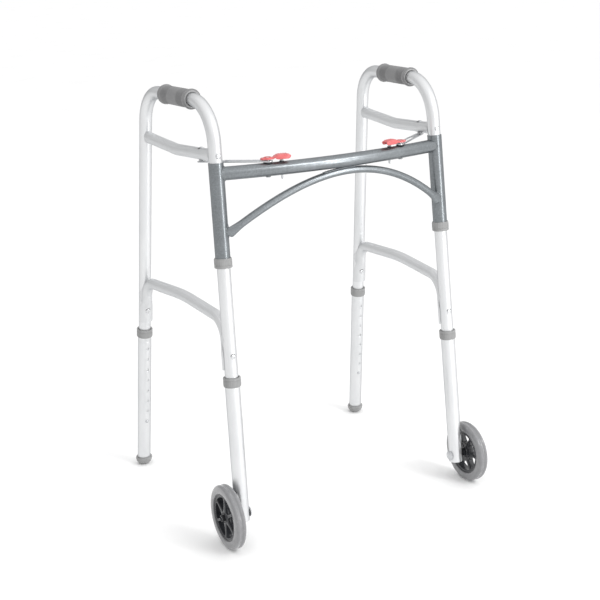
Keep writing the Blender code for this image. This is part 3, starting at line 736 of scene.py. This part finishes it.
def lever_section(x):
    """Bottom, top and half width of the rocker at x along the crossbar from its rivet."""
    rise = ease((x - 0.0085) / 0.0085)
    bottom = 0.0056 + 0.0034 * rise + 0.0010 * ease((x - 0.030) / 0.012)
    top = 0.0098 + 0.0052 * ease((x - 0.0080) / 0.0125) - 0.0016 * ease((x - 0.033) / 0.011)
    if x > 0.016:
        top += 0.00045 * sin((x - 0.016) * tau / 0.0046) * ease((0.0415 - x) / 0.004)
    half = 0.0061 + 0.0021 * ease((x - 0.010) / 0.010)
    half = max(half, 0.0085 * sqrt(max(0.0, 1 - (x / 0.0085) ** 2)))
    for tip, way in ((LEVER_HEEL, -1), (LEVER_TIP, 1)):
        near = max(0.0, 1 - (tip - x) * way / 0.0065)
        narrow = sqrt(max(0.02, 1 - near ** 2.4))
        half *= narrow
        middle = (top + bottom) / 2
        top, bottom = (middle + (v - middle) * (0.45 + 0.55 * narrow) for v in (top, bottom))
    return bottom, top, half


def release_lever(word):
    """Rocker: a low arm with a boss over the rivet, and a ridged thumb paddle inboard."""
    placed = latch_frame(word) @ Matrix.Rotation(SIDES[word] * LEVER_YAW, 4, "Z")
    xs = [LEVER_HEEL + (LEVER_TIP - LEVER_HEEL) * i / 110 for i in range(111)]
    places, sections = [], []
    for x in xs:
        bottom, top, half = lever_section(x)
        places.append(placed @ frame_at(Vector((x, 0, (bottom + top) / 2)), ACROSS, BACK))
        sections.append(soft_box(half, (top - bottom) / 2, 3.6, 44))
    body = loft(word + "_lever", places, sections, xs)
    # The loft is in world places, so the bore and its wider seat are cut there too.
    cuts = [lathe("cut", [(0, 0.030), (radius, 0.030), (radius, low), (0, low)], placed, 40)
            for radius, low in ((0.0042, -0.002), (0.0062, 0.0074))]
    piece = combined(body, cuts, "DIFFERENCE")
    inside = placed.inverted()
    marks = [c for v in piece.data.vertices for c in inside @ v.co]
    piece.data.attributes["grain"].data.foreach_set("vector", marks)
    dress(piece, "red_plastic", word + "_lever", word + "_release_lever")
    ring = [(0.0064, 0.0100), (0.0071, 0.0106), (0.0078, 0.0100), (0.0078, 0.0088), (0.0064, 0.0088)]
    turned(word + "_lever_boss", ring, 0.0004, placed, 48, "red_plastic", word + "_lever")
    # Skirts under both edges of the paddle: place along it, lower edge and half height.
    spots = [(0.0125, 0.0088, 0.0012), (0.0145, 0.0070, 0.0026), (0.0175, 0.0056, 0.0036),
             (0.0210, 0.0054, 0.0038), (0.0380, 0.0056, 0.0038), (0.0405, 0.0062, 0.0034),
             (0.0422, 0.0076, 0.0026), (0.0432, 0.0096, 0.0012)]
    for sign, place in ((-1, "outer"), (1, "inner")):
        walls = [placed @ Vector((x, sign * (0.0071 if x < 0.04 else 0.0060), low + tall))
                 for x, low, tall in spots]
        skirt = loft(f"{word}_lever_{place}_skirt", [frame_at(w, way(placed, 1), UP) for w in walls],
                     [soft_box(tall, 0.0009, 3.0, 20) for _, _, tall in spots], run_lengths(walls))
        dress(skirt, "red_plastic", word + "_lever")


def lock_pin(word):
    """Headed pin beside the guide rivet, the eyelet that it drops through, and its spring."""
    rivet_x = abs(JOINTS[word + "_guide_turn"]["pos_m"][0])
    reach = (bar_point(PIN_X) - bar_point(rivet_x)).length
    placed = latch_frame(word) @ Matrix.Translation((reach, 0, 0))
    tip = -2 * BAR_R - 0.0070
    outline = [(0, 0.0086), (0.0036, 0.0086), (0.0040, 0.0082), (0.0040, 0.0077), (PIN_R, 0.0076),
               (PIN_R, tip + 0.0012), (0.0013, tip), (0, tip)]
    turned(word + "_catch_pin", outline, 0.0004, placed, 28, "bright_steel", word + "_pin",
           word + "_lock_pin")
    ring = [(PIN_R + 0.0002, 0.0009), (0.0046, 0.0009), (0.0046, -0.0003), (PIN_R + 0.0002, -0.0003)]
    turned(word + "_pin_eyelet", ring, 0.0003, placed, 32, "dark_steel_and_painted_shadow", "front_frame")
    turns, per_turn, low, high, coil = 4, 28, 0.0012, 0.0070, 0.0031
    path = []
    for i in range(turns * per_turn + 1):
        share = i / (turns * per_turn)
        angle = tau * turns * share
        rise = low + (high - low) * ease(share) * 0.35 + (high - low) * share * 0.65
        path.append(placed @ Vector((coil * cos(angle), coil * sin(angle), rise)))
    spring = rod_mesh(word + "_pin_coil", path, 0.00038)
    dress(spring, "bright_steel", "front_frame", word + "_pin_spring")


def link_strip(word):
    """Flat steel strip with a long slot, and a raised rib on each side of the slot."""
    start, end = link_point(word), latch_frame(word).translation
    run = Vector((end.x - start.x, end.y - start.y, 0))
    placed, reach = frame_at(start, UP, run), run.length
    outlines = [slot_outline(-0.001, reach + 0.002, STRIP_HALF, 16),
                slot_outline(FOLDED_REACH, reach, SLOT_HALF, 12)]
    piece = extruded(word + "_slotted_strip", outlines, STRIP_HIGH - STRIP_LOW - 0.0006, 0.0004, placed)
    dress(piece, "bright_steel", word + "_strip", word + "_link_strip")
    spots = (FOLDED_REACH - 0.006, FOLDED_REACH, reach - 0.002, reach + 0.003)
    thin, full = soft_box(0.0003, 0.0004, 2.4, 20), soft_box(0.0010, 0.0013, 2.4, 20)
    for sign, place in ((-1, "outer"), (1, "inner")):
        path = [placed @ Vector((x, sign * (STRIP_HALF + SLOT_HALF) / 2, 0.0020)) for x in spots]
        rib = swept(f"{word}_strip_{place}_rib", path, UP, (thin, full, full, thin))
        dress(rib, "bright_steel", word + "_strip")


def link_rivet(word):
    """Through the upper brace: a head on top, a washer below and a foot just above the strip; a dark
    ring under the head is a painted shadow of the head on the brace.
    """
    spot = side_point(word, LINK_BACK, upper_brace_z(LINK_BACK))
    foot = BAR_Z + BAR_R + STRIP_HIGH + 0.0002 - spot.z
    over, under = BRACE_R - 0.0004, -BRACE_R + 0.0004
    outline = [(0, over + 0.0022), (0.0026, over + 0.0020), (0.0042, over + 0.0010), (0.0046, over),
               (0.0026, over), (0.0026, under), (0.0052, under), (0.0052, under - 0.0009),
               (0.0036, under - 0.0011), (0.0036, foot + 0.0010), (0.0056, foot + 0.0008),
               (0.0056, foot), (0, foot)]
    placed = frame_at(spot, UP, BACK)
    turned(word + "_link_pin", outline, 0.0004, placed, 36, "bright_steel", word + "_side",
           word + "_link_rivet")
    # A dark steel ring on the brace under the head: a painted shadow of the rivet head.
    washer = [(0.0029, over - 0.0001), (0.0064, over - 0.0003), (0.0066, over - 0.0009),
              (0.0029, over - 0.0012)]
    washer = lathe(word + "_link_painted_shadow_ring", rounded(washer, 0.0002, 2), placed, 36)
    dress(washer, "dark_steel_and_painted_shadow", word + "_side")


# Folding side ---------------------------------------------

def side_tube(word):
    """One bent tube, open at both ends: front leg, handle and rear leg."""
    corners = [on_leg(word, "front", INNER_LEG_END), on_leg(word, "front", HANDLE_Z),
               on_leg(word, "rear", HANDLE_Z), on_leg(word, "rear", INNER_LEG_END)]
    path = filled_in(rounded_path(corners, (FRONT_BEND, REAR_BEND), 28), 0.05)
    places, along = carried(path, ACROSS * SIDES[word]), run_lengths(path)
    edge = TUBE_WALL * 0.25
    rim, outer, bore = (circle(radius, 64) for radius in (TUBE_R - edge, TUBE_R, TUBE_R - TUBE_WALL))
    there = [places[0]] + places + [places[-1]] + places[::-1]
    there[1] = places[0] @ Matrix.Translation((0, 0, edge))
    there[len(path)] = places[-1] @ Matrix.Translation((0, 0, -edge))
    sections = [rim] + [outer] * len(path) + [rim] + [bore] * len(path)
    runs = [along[0]] + along + [along[-1]] + along[::-1]
    piece = loft(word + "_bent_tube", there, sections, runs, closed=True)
    dress(piece, "anodised_tube", word + "_side", word + "_side_tube")


def upper_brace(word):
    """Round tube with a shallow kink, its ends spread a little and shaped to the legs."""
    corners = [on_leg(word, "front", UPPER_FRONT_Z), side_point(word, KINK_BACK, UPPER_KINK_Z),
               on_leg(word, "rear", UPPER_REAR_Z)]
    path = filled_in(rounded_path(corners, (0.15,), 12), 0.006)
    path = [p for p in path if all(off_leg(word, end, p)[1].length > TUBE_R * 0.72 for end in LEGS)]
    places, along = carried(path, ACROSS * SIDES[word]), run_lengths(path)
    sections = []
    for length in along:
        press = ease(1 - min(length, along[-1] - length) / 0.040)
        sections.append([(x * (1 - 0.16 * press), y * (1 + 0.10 * press))
                         for x, y in circle(BRACE_R, 56)])
    piece = loft(word + "_upper_bar", places, sections, along)
    push_out(piece, word, TUBE_R + 0.0002)
    dress(piece, "satin_tube", word + "_side", word + "_upper_brace")


def saddle_section(share, count=56):
    """From a circle (share 0) to a pressed saddle (1) on the leg behind it."""
    made = []
    for i in range(count):
        turn = tau * i / count - pi / 2
        outer = i < count / 2
        sweep = SADDLE_SPREAD * ((4 * i / count - 1) if outer else (3 - 4 * i / count))
        reach = TUBE_R + (SADDLE_THICK if outer else 0.0002)
        pressed = (-SADDLE_OFFSET + reach * cos(sweep), reach * sin(sweep))
        plain = (BRACE_R * cos(turn), BRACE_R * sin(turn))
        made.append(tuple(a * (1 - share) + b * share for a, b in zip(plain, pressed)))
    return made


def lower_brace(word):
    """An inverted U whose pressed ends run down the facing sides of both legs."""
    def near(end, z, sign):
        here = on_leg(word, end, z)
        return side_point(word, here.y - on_leg(word, "front", REF_Z).y + sign * SADDLE_OFFSET, z)

    corners = [near("front", LOWER_END_Z, 1), near("front", LOWER_FRONT_Z, 1),
               side_point(word, KINK_BACK, LOWER_PEAK_Z), near("rear", LOWER_REAR_Z, -1),
               near("rear", LOWER_END_Z, -1)]
    path = filled_in(rounded_path(corners, LOWER_BENDS, 22), 0.005)
    inward = side_point(word, 0.1, 0.4) - side_point(word, 0.0, 0.4)
    along = run_lengths(path)
    sections = [saddle_section(ease((SADDLE_END - min(length, along[-1] - length)) / SADDLE_BLEND))
                for length in along]
    piece = swept(word + "_lower_bar", path, inward, sections)
    push_out(piece, word, TUBE_R + 0.0002)
    dress(piece, "satin_tube", word + "_side", word + "_lower_brace")


def hand_grip(word):
    """Moulded grip: a flange at each end, fine rings near both and shallow ones between."""
    start, end = (side_point(word, back, HANDLE_Z) for back in (GRIP_FRONT, GRIP_REAR))
    length = (end - start).length
    outline = [(GRIP_BORE, 0.0008), (0.0168, 0.0008), (0.0172, 0.0003), (0.0184, 0.0003),
               (0.0191, 0.0014), (GRIP_FLANGE_R, 0.0030),
               (0.0192, 0.0048), (0.0185, 0.0066), (0.0177, 0.0084), (0.0173, 0.0104)]
    last, steps = len(outline) - 1, 190
    for i in range(1, steps):
        z = 0.0104 + (length - 0.0208) * i / steps
        swell = 0.0003 * sin(pi * z / length)
        edge = min(z, length - z)
        depth = 0.00070 * ease((0.040 - edge) / 0.008) + 0.00014
        ring = depth * (cos(tau * (z - 0.0104) / 0.0032) - 1) * ease((edge - 0.0104) / 0.002)
        outline.append((GRIP_R + swell + ring, z))
    outline += [(r, length - z) for r, z in outline[last::-1]]
    placed = frame_at(start, end - start, UP)
    dress(lathe(word + "_grip", outline, placed, 96), "vinyl_grip", word + "_side", word + "_hand_grip")
    # Rounded lip ring round the tube at the front flange, in paler vinyl: a painted highlight where
    # light catches the flange's face.
    lip = [(0.0150 + 0.0019 * cos(a), 0.0004 - 0.0012 * sin(a))
           for a in (tau * i / 20 for i in range(20))]
    dress(lathe(word + "_grip_lip", lip, placed, 80), "painted_highlight_vinyl", word + "_side")


def beside_leg(word, end, z, sign, reach):
    """Placement beside a leg, with Z out of it: to the back (sign 1) or to the front (-1)."""
    base = leg_frame(word, end, z)
    out = way(base, sign)
    return frame_at(base.translation + out * reach, out, UP)


def rivets(word):
    """Domed rivets that hold the braces, the lower ones each with a set tail at its other end."""
    seat, saddle = TUBE_R - 0.0003, TUBE_R + SADDLE_THICK - 0.0002
    spots = (("upper_front_rivet", "front", UPPER_FRONT_Z, -1, seat),
             ("upper_rear_rivet", "rear", UPPER_REAR_Z, 1, seat),
             ("lower_front_rivet", "front", LOWER_RIVET_Z, -1, seat),
             ("lower_rear_rivet", "rear", LOWER_RIVET_Z, -1, saddle))
    head = [(0, 0.0002), (0.0014, 0.0002), (0.0017, 0.0020), (0.0030, 0.0018), (0.0042, 0.0011),
            (0.0048, 0.0002), (0.0048, -0.0006), (0, -0.0006)]
    for name, end, z, sign, reach in spots:
        placed = beside_leg(word, end, z, sign, reach)
        turned(f"{word}_{name}_head", head, 0.0003, placed, 36, "rivet_aluminium", word + "_side",
               f"{word}_{name}")
        # A thin ring round each head: all round, in bright steel, on the upper rivets; on the lower ones
        # a dark crescent over the top of the head, a painted shadow above it.
        sweep, look = (pi, "bright_steel") if "upper" in name else (radians(75), "dark_steel_and_painted_shadow")
        rim = [placed @ Vector((0.0051 * cos(a), 0.0051 * sin(a), 0.0002 - 0.0010 * sin(a) ** 2))
               for a in (sweep * (i / 16 - 1) for i in range(33))]
        dress(rod_mesh(f"{word}_{name}_rim", rim, 0.0005), look, word + "_side")
    tail = [(0, 0.0012), (0.0024, 0.0011), (0.0036, 0.0004), (0.0037, -0.0006), (0, -0.0006)]
    for end, reach in (("front", saddle), ("rear", seat)):
        placed = beside_leg(word, end, LOWER_RIVET_Z, 1, reach)
        turned(f"{word}_lower_{end}_rivet_tail", tail, 0.0003, placed, 28, "rivet_aluminium",
               word + "_side")


# Legs, feet and wheels ------------------------------------

def snap_buttons(word):
    """Domed studs that lock the sliding legs."""
    for end, (_, _, sign) in LEGS.items():
        base = leg_frame(word, end, BUTTON_Z)
        placed = frame_at(base.translation, way(base, sign), way(base, z=1))
        dome = [(BUTTON_R * sin(a), 0.0148 + 0.0017 * cos(a))
                for a in (pi / 2 * i / 8 for i in range(9))]
        piece = lathe(f"{word}_{end}_button", dome + [(BUTTON_R, 0.0096), (0, 0.0096)], placed, 36)
        dress(piece, "bright_steel", f"{word}_{end}_button", f"{word}_{end}_snap_button")


def sliding_legs(word):
    """Straight tubes with broken edges, eight holes for the button and a collar on top."""
    for end, (top, bottom, sign) in LEGS.items():
        placed = leg_frame(word, end, bottom)
        length = (on_leg(word, end, top) - placed.translation).length
        line = length - COLLAR_H - 0.0075
        ring = [(EXT_BORE, length), (SLEEVE_R, length), (SLEEVE_R, line + 0.0006),
                (SLEEVE_R - 0.0003, line), (SLEEVE_R, line - 0.0006), (SLEEVE_R, 0), (EXT_BORE, 0)]
        tube = lathe(f"{word}_{end}_sliding_leg", rounded(ring, 0.0003), placed, 72)
        first = (on_leg(word, end, BUTTON_Z) - placed.translation).length
        drill = [(0, 0.02), (BUTTON_HOLE_R, 0.02), (BUTTON_HOLE_R, 0.002), (0, 0.002)]
        centres = [placed @ Vector((0, 0, first + HOLE_PITCH * i)) for i in range(HOLE_COUNT)]
        tools = [lathe("drill", drill, frame_at(c, way(placed, sign), UP), 28) for c in centres]
        dress(combined(tube, tools, "DIFFERENCE"), "anodised_tube", f"{word}_{end}_leg",
              f"{word}_{end}_leg_extension")
        collar(f"{word}_{end}_leg_ring", leg_frame(word, end, top), 1, f"{word}_{end}_leg",
               f"{word}_{end}_leg_collar")


def glide_cap(word):
    """Moulded foot: a cup whose rim dips to front and back, with a flat, ringed sole on the floor."""
    placed = frame_at(on_leg(word, "rear", 0), UP, ACROSS)
    up = on_leg(word, "rear", 1) - on_leg(word, "rear", 0)
    outline = [(0, 0.0100), (SLEEVE_R + TOUCH, 0.0100), (SLEEVE_R + TOUCH, GLIDE_H),
               (GLIDE_R - 0.0008, GLIDE_H), (GLIDE_R - 0.0006, GLIDE_H - 0.0020),
               (GLIDE_R, GLIDE_H - 0.0026), (GLIDE_R, 0.0150), (0.0170, 0.0092), (0.0148, 0.0050),
               (0.0116, 0.0016), (0.0092, 0), (0.0072, 0), (0.0068, 0.0005), (0.0048, 0.0005),
               (0.0044, 0), (0, 0)]
    piece = lathe(word + "_rear_foot", rounded(outline, 0.0006), placed, 80)
    for vertex in piece.data.vertices:
        side = vertex.co - placed.translation
        facing = side.y ** 2 / max(side.x ** 2 + side.y ** 2, 1e-9)
        vertex.co.z -= GLIDE_DIP * facing * ease((vertex.co.z - 0.0110) / (GLIDE_H - 0.0110))
        vertex.co.x += up.x / up.z * vertex.co.z
        vertex.co.y += up.y / up.z * vertex.co.z
    dress(piece, "grey_plastic", word + "_rear_leg", word + "_rear_glide_cap")


def wheel_frame(word):
    """At a wheel's centre, with Z outwards along the axle."""
    return frame_at(Vector(JOINTS[word + "_wheel_spin"]["pos_m"]), ACROSS * SIDES[word], UP)


def tyre(word):
    """Solid tyre with round shoulders, two shallow grooves round the tread and a lip on the rim."""
    half = [(RIM_R + 0.0003, 0.0), (RIM_R + 0.0003, 0.0088), (0.0470, 0.0090), (0.0468, 0.0096),
            (0.0478, 0.0103), (0.0510, 0.0109), (0.0548, TYRE_HALF), (0.0578, 0.0106),
            (0.0604, 0.0096), (0.0622, 0.0082), (0.0631, 0.0066), (WHEEL_R, 0.0050), (0.0632, 0.0034),
            (0.0624, 0.0020), (0.0618, 0.0008), (0.0617, 0.0)]
    outline = half + [(r, -z) for r, z in half[-2:0:-1]]
    turned(word + "_wheel_tyre", outline, 0.0005, wheel_frame(word), 160, "grey_tyre", word + "_wheel",
           word + "_tyre")


def wheel_hub(word):
    """Moulded hub: rim, boss and six bladed spokes that spread where they meet the boss."""
    placed = wheel_frame(word)
    half = [(0.0400, 0.0078), (0.0410, 0.0084), (0.0436, 0.0080), (0.0450, 0.0090), (0.0466, 0.0092)]
    rim = half + [(RIM_R, 0.0084), (RIM_R, -0.0084)] + [(r, -z) for r, z in half[::-1]] + [(0.0396, 0)]
    web = [(BOSS_R - 0.002, 0.0050), (0.0200, 0.0042), (0.0208, 0.0032), (0.0208, -0.0060),
           (0.0200, -0.0068), (BOSS_R - 0.002, -0.0070)]
    boss = [(AXLE_R + 0.0004, BOSS_HALF), (0.0088, BOSS_HALF), (0.0092, BOSS_HALF - 0.0016),
            (0.0100, BOSS_HALF - 0.0016), (0.0106, BOSS_HALF - 0.0004),
            (BOSS_R - 0.0006, BOSS_HALF - 0.0006), (BOSS_R, BOSS_HALF - 0.002),
            (BOSS_R, -BOSS_HALF + 0.002), (BOSS_R - 0.001, -BOSS_HALF), (AXLE_R + 0.0004, -BOSS_HALF)]
    shape = lathe(word + "_hub", rounded(rim, 0.0006), placed, 120)
    adds = [lathe("part", rounded(outline, 0.0005), placed, 60) for outline in (boss, web)]
    low, high, count = 0.0108, 0.0450, 15
    radii = [low + (high - low) * i / (count - 1) for i in range(count)]
    sections = []
    for radius in radii:
        root, foot = exp(-(radius - 0.0115) / 0.0050), ease((radius - 0.036) / 0.006)
        spread = 0.0032 + 0.0036 * root + 0.0018 * foot
        dip, rise = ease((radius - 0.014) / 0.012), ease((radius - 0.034) / 0.008)
        deep = 0.0082 - 0.0008 * dip + 0.0006 * rise
        sections.append(soft_box(deep, spread, 5.0, 28))
    for k in range(SPOKES):
        angle = tau * (k + (0.5 if word == "right" else 0)) / SPOKES
        out = way(placed, cos(angle), sin(angle))
        places = [frame_at(placed.translation + out * radius, out, way(placed, z=1))
                  for radius in radii]
        adds.append(loft("spoke", places, sections, radii))
    dress(combined(shape, adds, "UNION"), "black_plastic", word + "_wheel", word + "_wheel_hub")


def axle(word):
    """Bolt through the leg and the wheel, its lock nut, and the spacer between leg and hub."""
    placed, leg = wheel_frame(word), word + "_front_leg"
    face_in, face_out = -WHEEL_OUT - SLEEVE_R - TOUCH, BOSS_HALF + 0.0004
    bolt = [(0, face_out + 0.0040), (AXLE_R - 0.0008, face_out + 0.0040), (AXLE_R, face_out + 0.0032),
            (AXLE_R, face_in), (0.0104, face_in), (0.0105, face_in - 0.0006), (0.0098, face_in - 0.0020),
            (0.0080, face_in - 0.0034), (0.0050, face_in - 0.0043), (0, face_in - 0.0046)]
    turned(word + "_wheel_bolt", bolt, 0.0004, placed, 48, "bright_steel", leg, word + "_axle_bolt")

    def hexagon(angle, radius, height):
        corner = angle % (pi / 3) - pi / 6
        return min(0.0, NUT_FLAT / cos(corner) - radius) if radius > 0.006 else 0.0

    bore = AXLE_R + 0.0002
    nut = [(bore, 0.0056), (0.0050, 0.0058), (0.0063, 0.0052), (0.0075, 0.0044), (0.0075, 0.0012),
           (0.0070, 0.0002), (bore, 0.0002)]
    nut = [(r, face_out + z) for r, z in nut]
    dress(lathe(word + "_lock_nut", nut, placed, 96, hexagon), "dark_steel_and_painted_shadow", leg, word + "_axle_nut")
    near, far = -WHEEL_OUT + SLEEVE_R - 0.0004, -BOSS_HALF - 0.0004
    spacer = [(AXLE_R + 0.0004, far), (0.0080, far), (0.0080, far - 0.0012), (0.0071, far - 0.0016),
              (0.0071, near + 0.0012), (0.0082, near + 0.0004), (0.0082, near), (AXLE_R + 0.0004, near)]
    turned(word + "_axle_spacer", spacer, 0.0003, placed, 48, "black_plastic", leg,
           word + "_wheel_spacer")


# Stage ----------------------------------------------------

def camera():
    """Looks at the walker from the left of its front, from above its handles."""
    a, e, r = (radians(v) for v in (CAMERA_AZIMUTH, CAMERA_ELEVATION, CAMERA_ROLL))
    back = Vector((sin(a) * cos(e), -cos(a) * cos(e), sin(e)))
    right = (-back).cross(UP).normalized()
    up = right.cross(-back)
    turned = Matrix((right * cos(r) + up * sin(r), up * cos(r) - right * sin(r),
                     back)).transposed().to_4x4()
    turned.translation = CAMERA_TARGET + back * CAMERA_DISTANCE
    lens = bpy.data.cameras.new("camera")
    lens.lens, lens.sensor_width = CAMERA_LENS, 36.0
    lens.clip_start, lens.clip_end = 0.05, 200.0
    made = bpy.data.objects.new("camera", lens)
    made.matrix_world = turned
    bpy.context.scene.collection.objects.link(made)
    bpy.context.scene.camera = made


def floor():
    """A pale floor that runs far out on all sides."""
    half = 60.0
    made = mesh_piece("floor", [(-half, -half, 0), (half, -half, 0), (half, half, 0), (-half, half, 0)],
                      [[0, 1, 2, 3]])

    def pale(tree):
        return {"Base Color": ramp(tree, noise(tree, 3.0), (0.90, 0.90, 0.90), (0.93, 0.93, 0.93)),
                "Roughness": remap(tree, noise(tree, 40.0), 0.75, 0.85)}

    made.data.materials.append(material("pale_floor", {"Specular IOR Level": 0.2}, pale))


def light(name, place, aim, size, watts):
    """A panel that faces its aim; size is its height and width."""
    lamp = bpy.data.lights.new(name, "AREA")
    lamp.shape = "RECTANGLE"
    lamp.size, lamp.size_y = size
    lamp.energy = watts
    made = bpy.data.objects.new(name, lamp)
    made.matrix_world = frame_at(Vector(place), Vector(place) - Vector(aim), UP)
    bpy.context.scene.collection.objects.link(made)


def studio():
    """An even pale surround, brighter above and to the front right, a tall strip and a soft box."""
    world = bpy.data.worlds.new("studio")
    world.use_nodes = True
    tree = world.node_tree
    towards = add(tree, "TexCoord").outputs["Generated"]
    facing = add(tree, "VectorMath", {0: towards, 1: (0.27, -0.51, 0.80)}, operation="DOT_PRODUCT")
    glow = add(tree, "Math", {0: facing.outputs["Value"], 1: 0.45, 2: 0.87}, operation="MULTIPLY_ADD")
    tree.links.new(glow.outputs[0], tree.nodes["Background"].inputs["Strength"])
    tree.nodes["Background"].inputs["Color"].default_value = (1, 1, 1, 1)
    bpy.context.scene.world = world
    light("strip", (1.3, -2.6, 1.05), (0, 0, 0.6), (2.0, 0.22), 24)
    light("softbox", (1.15, -2.35, 2.45), (0, -0.1, 0.7), (0.40, 1.3), 22)
    bpy.context.scene.view_settings.view_transform = "Standard"


# Assembly -------------------------------------------------

camera()
arch()
crossbar()
arch_seams()
for hand in SIDES:
    for make in (sleeve, guide_rivet, release_lever, lock_pin, link_strip, link_rivet, side_tube,
                 upper_brace, lower_brace, hand_grip, rivets, snap_buttons, sliding_legs, glide_cap,
                 tyre, wheel_hub, axle):
        make(hand)
floor()
studio()
